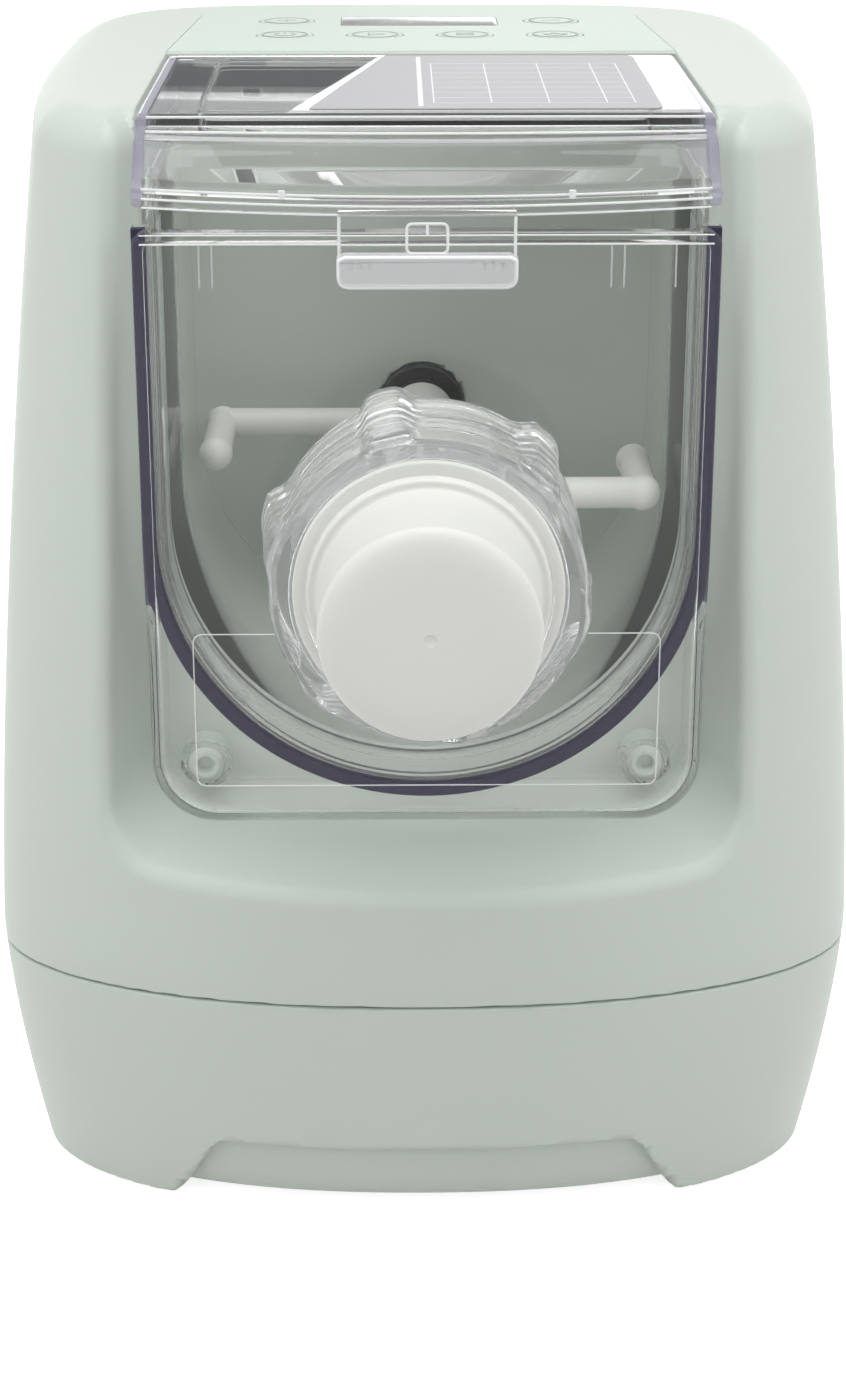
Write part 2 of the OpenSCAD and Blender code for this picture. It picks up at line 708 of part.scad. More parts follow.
module lid_sensor() {
    y = bulk_y1 + wall;
    color(board_green) place() union() {
        block(sensor_x - 10, sensor_x + 10, y, y + board_t, seat_z - 1, sensor_z + 1);
        block(sensor_x - 2, sensor_x + 2, y + board_t - eps, y + board_t + 1.5,
            seat_z + 1, seat_z + 5);
    }
}

// ---- Nozzle -----------------------------------------------------------------

module ring_nut() {
    color(clear) place() difference() {
        union() {
            y_turned([[0, nut_y0], [nut_r, nut_y0], [nut_r, nut_y0 - 9],
                [nut_r - 0.9, nut_y0 - 10], [nut_r - 0.9, nut_y0 - 18],
                [nut_r - 1.6, nut_y0 - 19], [nut_r - 1.6, nut_y1 + 4],
                [nut_r - 3.4, nut_y1], [0, nut_y1]]);
            for (i = [0:lug_n - 1]) let (a = 45 + 360 / lug_n * i, r = nut_r + lug_out - 6)
                translate([r * cos(a), nut_y0 - 1, axis_z + r * sin(a)]) rotate([90, 0, 0])
                    rotate_extrude() polygon([[0, 0], [5, 0], [6, 2], [6, 20],
                        [4.6, nut_y0 - nut_y1 - 4], [0, nut_y0 - nut_y1 - 4]]);
        }
        y_cyl(lip_y0, 50, nut_bore);
        y_cyl(nut_y1 - 5, 20, lip_bore);
    }
}

module nozzle_head() {
    r = 5;
    edge = [for (f = [0:15:90]) [tube_r - r + r * sin(f), tip_y + r - r * cos(f)]];
    color(white) place() difference() {
        y_turned(concat([[0, tip_y]], edge, [[tube_r + 0.6, nut_y1 + 0.6],
            [lip_bore - 0.4, nut_y1 + 0.6], [lip_bore - 0.4, head_y1],
            [nut_bore - 0.8, head_y1], [nut_bore - 0.8, head_y0],
            [tube_r - tube_t, head_y0], [tube_r - tube_t, tip_y + 4], [0, tip_y + 3.4]]));
        block(-die_w / 2, die_w / 2, die_y - die_l / 2, die_y + die_l / 2,
            axis_z - 30, axis_z - 10);
    }
}

module die_plate() {
    pitch = 4;
    cols = floor((die_w - 5) / pitch / 2);
    rows = floor((die_l - 5) / pitch / 2);
    color([0.88, 0.88, 0.86]) place() difference() {
        intersection() {
            difference() {
                y_cyl(die_y - die_l / 2 + 0.1, die_l - 0.2, tube_r - 0.1);
                y_cyl(die_y - die_l, 2 * die_l, tube_r - tube_t);
            }
            block(-die_w / 2 + 0.1, die_w / 2 - 0.1, die_y - die_l, die_y + die_l,
                axis_z - 30, axis_z - 10);
        }
        for (i = [-cols:cols], j = [-rows:rows])
            translate([i * pitch, die_y + j * pitch, axis_z - 30])
                cylinder(h = 20, r = die_hole_d / 2, $fn = 24);
    }
}

// ---- Stirrer ------------------------------------------------------------------

auger_y0 = seat_y + 2;
auger_y1 = floor_y;
auger_pitch = 30;

// Screw flight: one blade on a round core, twisted along the axis
module auger_screw() {
    l = auger_y1 - auger_y0;
    core = 9;
    r = barrel_r - 0.8;
    blade = 46;
    color(white) place() translate([0, auger_y1, axis_z]) rotate([90, 0, 0])
        linear_extrude(height = l, twist = -360 * l / auger_pitch, slices = 42)
            polygon(concat(
                [for (i = [1:11]) let (a = blade / 2 + 6 + (348 - blade) * (i - 1) / 10)
                    core * [cos(a), sin(a)]],
                [for (a = [-1, -0.55]) [(r - 1 - a) * cos(blade / 2 * a), (r - 1 - a)
                    * sin(blade / 2 * a)]],
                [r * [1, 0]],
                [for (a = [0.55, 1]) [(r - 1 + a) * cos(blade / 2 * a), (r - 1 + a)
                    * sin(blade / 2 * a)]]));
}

// One arm: out from the hub, then along it, ending in a round tip
module paddle_arm(y0, y1, angle) {
    r = paddle_t / 2;
    reach = paddle_reach - r - 0.6;
    translate([0, y0, axis_z]) rotate([0, -angle, 0]) {
        rotate([0, 90, 0]) cylinder(h = reach, r = r);
        translate([reach, 0, 0]) {
            sphere(r = r + 0.6);
            rotate([y1 > y0 ? -90 : 90, 0, 0]) cylinder(h = abs(y1 - y0), r = r);
            translate([0, y1 - y0, 0]) sphere(r = r + 0.5);
        }
    }
}

module mixing_paddle() {
    hub_y1 = chamber_y1 - 6;
    color([0.9, 0.9, 0.9]) place() difference() {
        union() {
            y_cyl(auger_y1, hub_y1 - auger_y1, 9);
            paddle_arm(auger_y1 + 11, auger_y1 + 40, 0);
            paddle_arm(hub_y1 - 9, hub_y1 - 40, 180);
            paddle_arm((auger_y1 + hub_y1) / 2, (auger_y1 + hub_y1) / 2 + 24, 270);
        }
        translate([0, hub_y1 + 1, axis_z]) rotate([90, 0, 0])
            cylinder(h = hub_y1 + 1 - shaft_y0 + 0.5, r = shaft_r + 0.3, $fn = 6);
    }
}

module drive_shaft() {
    hex_l = chamber_y1 - 5 - shaft_y0;
    color(steel) place() union() {
        translate([0, shaft_y0 + hex_l, axis_z]) rotate([90, 0, 0])
            cylinder(h = hex_l, r = shaft_r, $fn = 6);
        y_cyl(shaft_y0 + hex_l, box_y1 + box_t - shaft_y0 - hex_l, shaft_r);
    }
}

module shaft_seal() {
    color([0.2, 0.2, 0.22]) place() y_turned([[shaft_r + run_gap, chamber_y1 - 3],
        [8.9, chamber_y1 - 3], [8.9, chamber_y1], [11.8, chamber_y1],
        [11.8, bulk_y1 - 1], [8, bulk_y1 - 1], [8, chamber_y1 + 1.5],
        [shaft_r + run_gap, chamber_y1 + 1.5]]);
}

// ---- Gearbox --------------------------------------------------------------------

mount_points = [[-40, axis_z + 38], [40, axis_z + 38], [44, axis_z - 38],
    [motor_x + 42, motor_z]];

module box_outline(grow) {
    hull() {
        translate([0, axis_z]) circle(r = wheel_out_r + 3 + grow);
        translate([idler_x, idler_z]) circle(r = wheel_in_r + 3 + grow);
        translate([motor_x, motor_z]) circle(r = 18 + grow);
    }
}

module gearbox_housing() {
    color([0.55, 0.57, 0.58]) place() difference() {
        union() {
            from_y(box_y0, box_y1 - box_y0) box_outline(wall);
            for (p = mount_points) y_cyl(bulk_y1, box_t + 6, 5, p[0], p[1]);
            from_y(box_y0, box_t) hull() for (p = mount_points) translate(p) circle(r = 5);
            y_cyl(box_y0 - 3, 4, bearing_r + 2.4);
        }
        from_y(box_y0 + box_t, box_y1) box_outline(0);
        y_cyl(box_y0 - 4, 20, shaft_r + 2);
        y_cyl(box_y0 - 1.5, 20, bearing_r);
        y_cyl(box_y0 + 1, 10, idler_r, idler_x, idler_z);
        for (p = mount_points) y_cyl(bulk_y1 - 1, 20, screw_r + 0.2, p[0], p[1]);
        for (p = mount_points) y_cyl(box_y0 + box_t, 40, 4, p[0], p[1]);
    }
}

module gearbox_cover() {
    color([0.5, 0.52, 0.53]) place() difference() {
        union() {
            from_y(box_y1, box_t) box_outline(wall);
            y_cyl(box_y1 - 4, 5, bearing_r + 2.4);
        }
        y_cyl(box_y1 - 5, bearing_w - 1, bearing_r);
        y_cyl(box_y1 - 5, 20, shaft_r + 1);
        y_cyl(box_y1 - 1, 3, idler_r, idler_x, idler_z);
        y_cyl(box_y1 - 1, 10, 8, motor_x, motor_z);
        for (p = mount_points) y_cyl(box_y1 - 1, 10, 4, p[0], p[1]);
    }
}

module shaft_bearings() {
    module bearing(y) {
        y_turned([[shaft_r + run_gap, y], [7, y], [7.4, y + 0.8], [8.8, y + 0.8], [9.2, y],
            [bearing_r, y], [bearing_r, y + bearing_w], [9.2, y + bearing_w],
            [8.8, y + bearing_w - 0.8], [7.4, y + bearing_w - 0.8], [7, y + bearing_w],
            [shaft_r + run_gap, y + bearing_w]]);
    }
    color(steel) place() {
        bearing(box_y0 - 1.5);
        bearing(box_y1 + 1 - bearing_w);
    }
}

// Half angle of an involute tooth at a radius, in degrees
pressure = 25;
function inv(a) = tan(a) * 180 / PI - a;
function tooth_half(m, n, r) = let (
    pitch = m * n / 2,
    base = pitch * cos(pressure),
    at = r > base ? inv(acos(base / r)) : 0)
    90 / n + inv(pressure) - at - 0.08 * m / pitch * 180 / PI;

module gear_outline(m, n, phase) {
    pitch = m * n / 2;
    tip = pitch + 0.9 * m;
    root = pitch - 1.25 * m;
    radii = [root, pitch, tip];
    polygon([for (k = [0:n - 1]) for (i = [0:5]) let (
        r = i < 3 ? radii[i] : radii[5 - i],
        a = phase + 360 / n * k + (i < 3 ? -1 : 1) * tooth_half(m, n, r))
        r * [cos(a), sin(a)]]);
}

module output_gear() {
    color([0.92, 0.9, 0.82]) place() difference() {
        union() {
            translate([0, 0, axis_z]) from_y(out_y, wheel_w)
                gear_outline(gear_m_out, wheel_teeth, idler_a);
            y_cyl(out_y - 2.5, wheel_w + 6, 11);
        }
        difference() {
            y_cyl(out_y + wheel_w - 3, 4, wheel_out_r - 6);
            y_cyl(out_y, wheel_w + 2, 16);
        }
        difference() {
            y_cyl(out_y - 1, 4, wheel_out_r - 6);
            y_cyl(out_y - 2, wheel_w + 2, 16);
        }
        y_cyl(out_y - 5, 40, shaft_r);
    }
}

module idler_gear() {
    color([0.92, 0.9, 0.82]) place() difference() {
        union() {
            translate([idler_x, 0, idler_z]) from_y(out_y - 1, wheel_w + 1.5)
                gear_outline(gear_m_out, pinion_teeth, idler_a + 180 + 180 / pinion_teeth);
            translate([idler_x, 0, idler_z]) from_y(in_y - 1, in_w)
                gear_outline(gear_m_in, wheel_teeth, motor_a);
        }
        y_cyl(out_y - 5, 40, idler_r + run_gap, idler_x, idler_z);
    }
}

module idler_shaft() {
    color(steel) place() y_cyl(box_y0 + 1, box_y1 + 1 - box_y0, idler_r, idler_x, idler_z);
}

module motor_pinion() {
    color([0.8, 0.7, 0.4]) place() difference() {
        translate([motor_x, 0, motor_z]) from_y(in_y - 1.5, in_w + 1)
            gear_outline(gear_m_in, pinion_teeth, motor_a + 180 + 180 / pinion_teeth);
        y_cyl(in_y - 5, 40, rotor_r, motor_x, motor_z);
    }
}

// ---- Motor ------------------------------------------------------------------------

motor_y1 = motor_y + motor_l;

module motor_shaft() {
    color(steel) place() y_cyl(in_y - 1.5, motor_y1 + 9 - in_y, rotor_r, motor_x, motor_z);
}

module rotor_core() {
    color([0.5, 0.35, 0.25]) place() difference() {
        y_cyl(motor_y + 12, motor_l - 24, motor_r - 12, motor_x, motor_z);
        y_cyl(motor_y, motor_l, rotor_r, motor_x, motor_z);
        for (a = [0:30:330]) translate([motor_x, motor_y + 10, motor_z])
            rotate([0, a, 0]) translate([-1, 0, motor_r - 17]) cube([2, motor_l, 8]);
    }
}

module motor_case() {
    color([0.6, 0.62, 0.64]) place() y_turned([[motor_r - 2, motor_y + 4],
        [motor_r, motor_y + 4], [motor_r, motor_y1 - 4], [motor_r - 2, motor_y1 - 4]],
        motor_x, motor_z);
}

module motor_magnets() {
    color([0.25, 0.25, 0.27]) place() difference() {
        y_turned([[motor_r - 10, motor_y + 12], [motor_r - 2, motor_y + 12],
            [motor_r - 2, motor_y1 - 12], [motor_r - 10, motor_y1 - 12]], motor_x, motor_z);
        translate([motor_x - 4, motor_y, motor_z - motor_r]) cube([8, motor_l, 2 * motor_r]);
    }
}

module motor_end_caps() {
    color([0.5, 0.52, 0.53]) place() {
        y_turned([[rotor_r + run_gap, motor_y + 1], [7, motor_y], [motor_r, motor_y],
            [motor_r, motor_y + 4], [8, motor_y + 4], [7, motor_y + 8],
            [rotor_r + run_gap, motor_y + 8]], motor_x, motor_z);
        y_turned([[rotor_r + run_gap, motor_y1 - 8], [7, motor_y1 - 8], [8, motor_y1 - 4],
            [motor_r, motor_y1 - 4], [motor_r, motor_y1], [rotor_r + run_gap, motor_y1]],
            motor_x, motor_z);
    }
}

module motor_fan() {
    color([0.3, 0.3, 0.32]) place() difference() {
        union() {
            y_cyl(motor_y1 + 1, 6, 7, motor_x, motor_z);
            for (a = [0:40:320]) translate([motor_x, motor_y1 + 4, motor_z])
                rotate([0, a, 0]) rotate([0, 0, 35])
                    translate([-3.2, -0.6, 5]) cube([6.4, 1.2, motor_r - 9]);
        }
        y_cyl(motor_y1, 20, rotor_r, motor_x, motor_z);
    }
}

// ---- Electrics ------------------------------------------------------------------

module power_board() {
    color(board_green) place() union() {
        block(-pcb_w / 2, pcb_w / 2, pcb_y - pcb_d / 2, pcb_y + pcb_d / 2, pcb_z,
            pcb_z + board_t);
        for (s = [-1, 1], t = [-1, 1]) translate([s * (pcb_w / 2 - 5),
            pcb_y + t * (pcb_d / 2 - 5), pan_z + 2.5])
                cylinder(h = pcb_z - pan_z - 2.5 + eps, r = 3);
    }
}

module board_components() {
    z = pcb_z + board_t;
    choke_h = 0.36 * pcb_d;
    color([0.2, 0.2, 0.25]) place() {
        block(-46, -14, pcb_y - 18, pcb_y + 10, z, z + choke_h);
        block(14, 40, pcb_y - 26, pcb_y - 12, z, z + 16);
        for (x = [4, 18, 32]) translate([x, pcb_y + 14, z]) cylinder(h = 20, r = 6);
        block(40, 50, pcb_y - 4, pcb_y + 26, z, z + 22);
    }
}

module power_inlet() {
    y1 = inlet_y;
    color([0.12, 0.12, 0.13]) place() difference() {
        union() {
            block(-inlet_w / 2 + 0.2, inlet_w / 2 - 0.2, y1 - 24, y1,
                inlet_z - inlet_h / 2 + 0.2, inlet_z + inlet_h / 2 - 0.2);
            block(-inlet_w / 2 - 4, inlet_w / 2 + 4, y1 - 11, y1 - 8,
                inlet_z - inlet_h / 2 - 2, inlet_z + inlet_h / 2 + 2);
        }
        block(-inlet_w / 2 + 2, inlet_w / 2 - 2, y1 - 18, y1 + 1, inlet_z - inlet_h / 2 + 2,
            inlet_z + inlet_h / 2 - 2);
    }
}

module inlet_pins() {
    y1 = inlet_y;
    color(steel) place() for (p = [[-7, 0], [0, 4], [7, 0]])
        block(p[0] - 1, p[0] + 1, y1 - 18, y1 - 5, inlet_z - 4 + p[1], inlet_z + p[1]);
}

// ---- Fasteners ---------------------------------------------------------------------

module body_screws() {
    color(steel) place() for (s = [-1, 1], y = post_y)
        translate([s * screw_x(y), y, seam_z - 14])
            rotate_extrude() polygon([[0, 0], [2.6, 0], [2.6, 2], [screw_r - 0.05, 2],
                [screw_r - 0.05, 26], [0, 26]]);
}

module gearbox_screws() {
    color(steel) place() for (p = mount_points)
        y_turned([[0, bay_y1 + 1], [screw_r, bay_y1 + 1], [screw_r, box_y0 + box_t],
            [3, box_y0 + box_t], [3, box_y0 + box_t + 2.2], [0, box_y0 + box_t + 2.2]],
            p[0], p[1]);
}

module board_screws() {
    color(steel) place() for (s = [-1, 1], t = [-1, 1])
        translate([s * board_hole[0], board_y + t * board_hole[1], board_z - board_t - 2])
            rotate_extrude() polygon([[0, 0], [2.4, 0], [2.4, 2], [1.05, 2], [1.05, 8],
                [0, 8]]);
}

upper_housing();
base_shell();
bottom_pan();
rubber_feet();
control_panel();
display_window();
display_module();
key_power();
key_start();
key_program();
key_dough();
key_plus();
key_minus();
key_switches();
control_board();
mixing_chamber();
chamber_gasket();
front_panel();
locating_posts();
lid();
lid_label();
lid_hinge_pins();
lid_magnet();
interlock_window();
lid_sensor();
ring_nut();
nozzle_head();
die_plate();
auger_screw();
mixing_paddle();
drive_shaft();
shaft_seal();
shaft_bearings();
gearbox_housing();
gearbox_cover();
output_gear();
idler_gear();
idler_shaft();
motor_pinion();
motor_shaft();
rotor_core();
motor_case();
motor_magnets();
motor_end_caps();
motor_fan();
power_board();
board_components();
power_inlet();
inlet_pins();
body_screws();
gearbox_screws();
board_screws();
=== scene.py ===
"""Looks of an electric pasta maker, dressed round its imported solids.

Sizes are in millimetres in the maker's own frame: x to the right, y to the back from
the face of the clear front panel, and z up from the worktop. ``metres`` turns them into
the row frame, whose origin lies under the middle of the machine.
"""

from __future__ import annotations

import json
import logging
import math
from dataclasses import dataclass
from enum import Enum
from typing import Any, Callable, Sequence

import bmesh
import bpy
import numpy as np
from mathutils import Matrix, Vector

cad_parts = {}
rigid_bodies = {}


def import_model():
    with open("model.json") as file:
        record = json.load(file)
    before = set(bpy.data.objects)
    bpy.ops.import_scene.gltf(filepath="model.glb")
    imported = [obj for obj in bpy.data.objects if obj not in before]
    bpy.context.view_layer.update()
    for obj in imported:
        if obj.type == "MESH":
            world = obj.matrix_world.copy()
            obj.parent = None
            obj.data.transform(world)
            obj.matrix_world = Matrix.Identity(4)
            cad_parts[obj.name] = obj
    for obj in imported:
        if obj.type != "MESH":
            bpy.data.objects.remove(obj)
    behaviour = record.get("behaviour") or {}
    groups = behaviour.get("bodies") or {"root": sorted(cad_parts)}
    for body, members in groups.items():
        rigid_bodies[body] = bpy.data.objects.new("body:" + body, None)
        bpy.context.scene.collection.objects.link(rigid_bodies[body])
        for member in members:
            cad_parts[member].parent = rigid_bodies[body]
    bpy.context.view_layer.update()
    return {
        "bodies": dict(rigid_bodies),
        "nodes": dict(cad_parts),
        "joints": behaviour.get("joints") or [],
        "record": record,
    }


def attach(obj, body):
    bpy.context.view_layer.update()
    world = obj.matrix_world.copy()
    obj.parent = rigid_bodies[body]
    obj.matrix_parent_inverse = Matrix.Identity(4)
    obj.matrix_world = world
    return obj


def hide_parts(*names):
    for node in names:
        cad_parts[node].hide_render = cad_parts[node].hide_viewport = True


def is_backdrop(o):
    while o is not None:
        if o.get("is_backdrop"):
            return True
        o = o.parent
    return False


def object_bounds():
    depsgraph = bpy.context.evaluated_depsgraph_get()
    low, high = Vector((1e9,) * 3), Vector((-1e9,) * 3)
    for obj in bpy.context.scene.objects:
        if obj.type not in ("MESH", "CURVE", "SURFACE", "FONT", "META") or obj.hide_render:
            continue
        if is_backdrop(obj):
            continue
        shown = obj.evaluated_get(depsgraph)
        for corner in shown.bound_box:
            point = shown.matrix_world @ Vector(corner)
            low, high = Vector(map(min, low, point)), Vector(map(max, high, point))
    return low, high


LOG = logging.getLogger("pasta_maker")
MM = 0.001
PER_MM = 1000  # texture scale that gives a pattern one millimetre
WAVE = 20  # the wave texture's own turns in one unit
SHARP = 38.0  # moulded edges that turn by more degrees stay sharp
CUT_SHARP = 35.0  # the same for a piece that has been cut
CORE = 0.001  # radius at which turned forms close round their line
MIDDLE_Y = 89.0  # from the front panel's face to the middle of the machine

Point2 = tuple[float, float]
Point3 = tuple[float, float, float]
Field = Callable[[np.ndarray, np.ndarray, np.ndarray], np.ndarray]


# ---- Sizes ------------------------------------------------------------------------


@dataclass(frozen=True)
class Sizes:
    """Sizes that more than one sub-assembly uses, in millimetres."""

    body_w: float = 234.9
    body_h: float = 284.0
    body_d: float = 248.0
    belly_z: float = 70.0  # height of the widest place
    seam_z: float = 64.0
    side_taper: float = 15.5  # how far each side draws in at the top
    base_taper: float = 9.8  # and at the floor
    belly_bulge: float = 8.5  # how far the belly stands ahead of the clear panel
    front_lean: float = 11.0  # how far the front leans back at the top
    corner_d: float = 48.0  # depth of the front corners
    top_r: float = 9.5  # rounding of the top's edge
    wall: float = 3.0
    panel_w: float = 137.0
    panel_z0: float = 111.0
    panel_z1: float = 260.5
    panel_r: float = 16.0
    panel_d: float = 29.0  # depth of the clear panel's side walls
    clear_t: float = 2.5  # thickness of the clear mouldings
    recess_x: float = 69.6  # half the width of the recess at its floor
    recess_z: float = 109.5  # height of the sill at the recess's floor
    side_bevel: float = 0.47  # how far each side of the recess draws out per unit ahead
    sill_bevel: float = 0.39  # and how far its sill drops
    floor_y: float = 30.0  # floor of the recess
    axis_z: float = 186.0  # height of the drive's axis
    chamber_r: float = 63.6
    chamber_t: float = 2.6
    gasket_y: float = 6.0
    mouth_y: float = 9.0
    chamber_y1: float = 124.0
    chamber_top: float = 268.5
    flange_r: float = 69.0
    gasket_r: float = 65.65
    bay_r: float = 66.6  # trough under the chamber
    bay_y1: float = 128.0
    bulk_y1: float = 131.0  # back of the wall behind the trough
    seat_z: float = 269.0  # seat of the lid
    insert_y0: float = 132.2  # front edge of the control panel
    insert_l: float = 94.0
    insert_w0: float = 139.2
    insert_w1: float = 128.2
    insert_z: float = 281.8
    insert_top: float = 284.3
    key_row_1: float = 165.2
    key_row_2: float = 196.2
    key_near: float = 12.8  # keys of the front row, from the middle
    key_far: float = 38.5
    key_side: float = 39.0  # keys beside the display
    foot_out: float = 0.7  # how far the feet stand out below the shell
    arch_h: float = 20.6  # opening between two feet
    arch_w: float = 104.0
    wide_y: float = 140.0  # where the body is at its widest
    rear_y0: float = 150.0  # where the rear corners start


S = Sizes()


class Slot(str, Enum):
    """Material slots of the record, one for each kind of dressed piece."""

    SAGE = "sage_abs"
    MINT = "mint_abs"
    CLEAR = "clear_plastic"
    FILM = "frosted_film"
    SMOKE = "smoke_plastic"
    NAVY = "navy_rubber"
    WHITE = "white_pom"
    BLACK = "black_plastic"


class Body(str, Enum):
    """Bodies of the record that carry dressed pieces, besides the keys."""

    MACHINE = "machine"
    LID = "lid"
    NOZZLE = "nozzle"
    NUT = "ring_nut"


# ---- Finishes ---------------------------------------------------------------------


def linear(colour: str) -> tuple[float, float, float, float]:
    """Turn an sRGB hex colour into linear values.

    Args:
        colour: six hex digits with a leading hash.

    Returns:
        Linear red, green and blue, and an alpha of one.
    """
    parts = [int(colour[i : i + 2], 16) / 255 for i in (1, 3, 5)]
    return (*[p / 12.92 if p <= 0.04045 else ((p + 0.055) / 1.055) ** 2.4 for p in parts], 1.0)


def add(
    tree: bpy.types.NodeTree, kind: str, feeds: dict[str | int, Any] | None = None, **settings: Any
) -> bpy.types.Node:
    """Add a node with its settings, values and links.

    Args:
        tree: node tree that gets the node.
        kind: Blender's name of the node type.
        feeds: socket name or number, with a value or an output socket to link.
        **settings: properties of the node itself.

    Returns:
        The new node.
    """
    node = tree.nodes.new(kind)
    for name, value in settings.items():
        setattr(node, name, value)
    for socket, value in (feeds or {}).items():
        if isinstance(value, bpy.types.NodeSocket):
            tree.links.new(value, node.inputs[socket])
        else:
            node.inputs[socket].default_value = value
    return node


def blank(name: str) -> bpy.types.Material:
    """Make a material whose node tree is empty."""
    mat = bpy.data.materials.new(name)
    mat.use_nodes = True
    mat.node_tree.nodes.clear()
    return mat


def relief(
    tree: bpy.types.NodeTree, height: bpy.types.NodeSocket, depth_mm: float
) -> bpy.types.NodeSocket:
    """Turn a pattern of heights into bent normals.

    Args:
        tree: node tree of the material.
        height: the pattern.
        depth_mm: height of the relief.

    Returns:
        The normals.
    """
    feeds = {"Height": height, "Distance": depth_mm * MM, "Strength": 1.0}
    return add(tree, "ShaderNodeBump", feeds).outputs[0]


def blend(
    tree: bpy.types.NodeTree, share: bpy.types.NodeSocket, first: Any, second: Any
) -> bpy.types.NodeSocket:
    """Mix two colours.

    Args:
        tree: node tree of the material.
        share: share of the second colour.
        first: first colour.
        second: second colour.

    Returns:
        The mixed colour.
    """
    feeds = {"Factor": share, "A": first, "B": second}
    return add(tree, "ShaderNodeMix", feeds, data_type="RGBA").outputs[2]


@dataclass(frozen=True)
class Finish:
    """A moulded, cast or turned surface with two close tones and a fine relief."""

    name: str
    tone: str
    second: str
    rough: float
    rough_swing: float = 0.05
    patch_mm: float = 40.0  # size of the soft patches in which the tone drifts
    grain_mm: float = 0.8  # size of the relief's grain
    relief_mm: float = 0.02  # height of the relief
    metallic: float = 0.0
    ior: float = 1.5
    sheen: float = 0.0
    subsurface: float = 0.0

    def make(self) -> bpy.types.Material:
        """Build the material, or return it if it is there already."""
        found = bpy.data.materials.get(self.name)
        if found:
            return found
        mat = blank(self.name)
        mat.diffuse_color = linear(self.tone)
        tree = mat.node_tree
        place = add(tree, "ShaderNodeTexCoord").outputs["Object"]
        patches = {"Vector": place, "Scale": PER_MM / self.patch_mm, "Detail": 3.0}
        drift = add(tree, "ShaderNodeTexNoise", patches).outputs["Fac"]
        tone = blend(tree, drift, linear(self.tone), linear(self.second))
        height = self.pattern(tree, place)
        rough = add(
            tree,
            "ShaderNodeMapRange",
            {
                "Value": height,
                "To Min": max(0.02, self.rough - self.rough_swing),
                "To Max": min(1.0, self.rough + self.rough_swing),
            },
        )
        normal = relief(tree, height, self.relief_mm)
        shader = add(
            tree,
            "ShaderNodeBsdfPrincipled",
            {
                "Base Color": self.colour(tree, place, tone),
                "Roughness": rough.outputs[0],
                "Normal": normal,
                "Metallic": self.metallic,
                "IOR": self.ior,
                "Sheen Weight": self.sheen,
            },
        )
        if self.subsurface:
            shader.inputs["Subsurface Weight"].default_value = self.subsurface
            shader.inputs["Subsurface Radius"].default_value = (1.0, 0.9, 0.8)
            shader.inputs["Subsurface Scale"].default_value = 2.0 * MM
        add(tree, "ShaderNodeOutputMaterial", {"Surface": shader.outputs[0]})
        return mat

    def pattern(self, tree: bpy.types.NodeTree, place: bpy.types.NodeSocket) -> bpy.types.NodeSocket:
        """Return the height of the surface's relief, here an even grain."""
        grain = add(
            tree,
            "ShaderNodeTexNoise",
            {"Vector": place, "Scale": PER_MM / self.grain_mm, "Detail": 2.0, "Roughness": 0.55},
        )
        return grain.outputs["Fac"]

    def colour(
        self, tree: bpy.types.NodeTree, place: bpy.types.NodeSocket, tone: bpy.types.NodeSocket
    ) -> bpy.types.NodeSocket:
        """Return the colour of the surface, here the drifting tone as it is."""
        return tone


@dataclass(frozen=True)
class Turned(Finish):
    """Metal with the fine rings that a lathe leaves, along the machine's depth."""

    pitch_mm: float = 0.6

    def pattern(self, tree: bpy.types.NodeTree, place: bpy.types.NodeSocket) -> bpy.types.NodeSocket:
        """Return rings across the depth, a little uneven."""
        rings = add(
            tree,
            "ShaderNodeTexWave",
            {"Vector": place, "Scale": PER_MM / self.pitch_mm / WAVE, "Distortion": 0.6, "Detail": 2.0},
            bands_direction="Y",
        )
        return rings.outputs["Fac"]


@dataclass(frozen=True)
class Laminated(Finish):
    """Stacked steel sheets with enamelled wire between their teeth."""

    sheet_mm: float = 0.8

    def pattern(self, tree: bpy.types.NodeTree, place: bpy.types.NodeSocket) -> bpy.types.NodeSocket:
        """Return the edges of the sheets."""
        sheets = {"Vector": place, "Scale": PER_MM / self.sheet_mm / WAVE}
        return add(tree, "ShaderNodeTexWave", sheets, bands_direction="Y").outputs["Fac"]


@dataclass(frozen=True)
class Tracked(Finish):
    """Solder mask over copper tracks, which show as a lighter raised pattern."""

    track: str = "#2F6B49"
    track_mm: float = 5.0

    def colour(
        self, tree: bpy.types.NodeTree, place: bpy.types.NodeSocket, tone: bpy.types.NodeSocket
    ) -> bpy.types.NodeSocket:
        """Return the mask's green with lighter tracks."""
        tracks = add(
            tree,
            "ShaderNodeTexBrick",
            {
                "Vector": place,
                "Scale": PER_MM / self.track_mm,
                "Mortar Size": 0.03,
                "Color1": (0, 0, 0, 1),
                "Color2": (0, 0, 0, 1),
                "Mortar": (1, 1, 1, 1),
            },
        )
        return blend(tree, tracks.outputs["Color"], tone, linear(self.track))


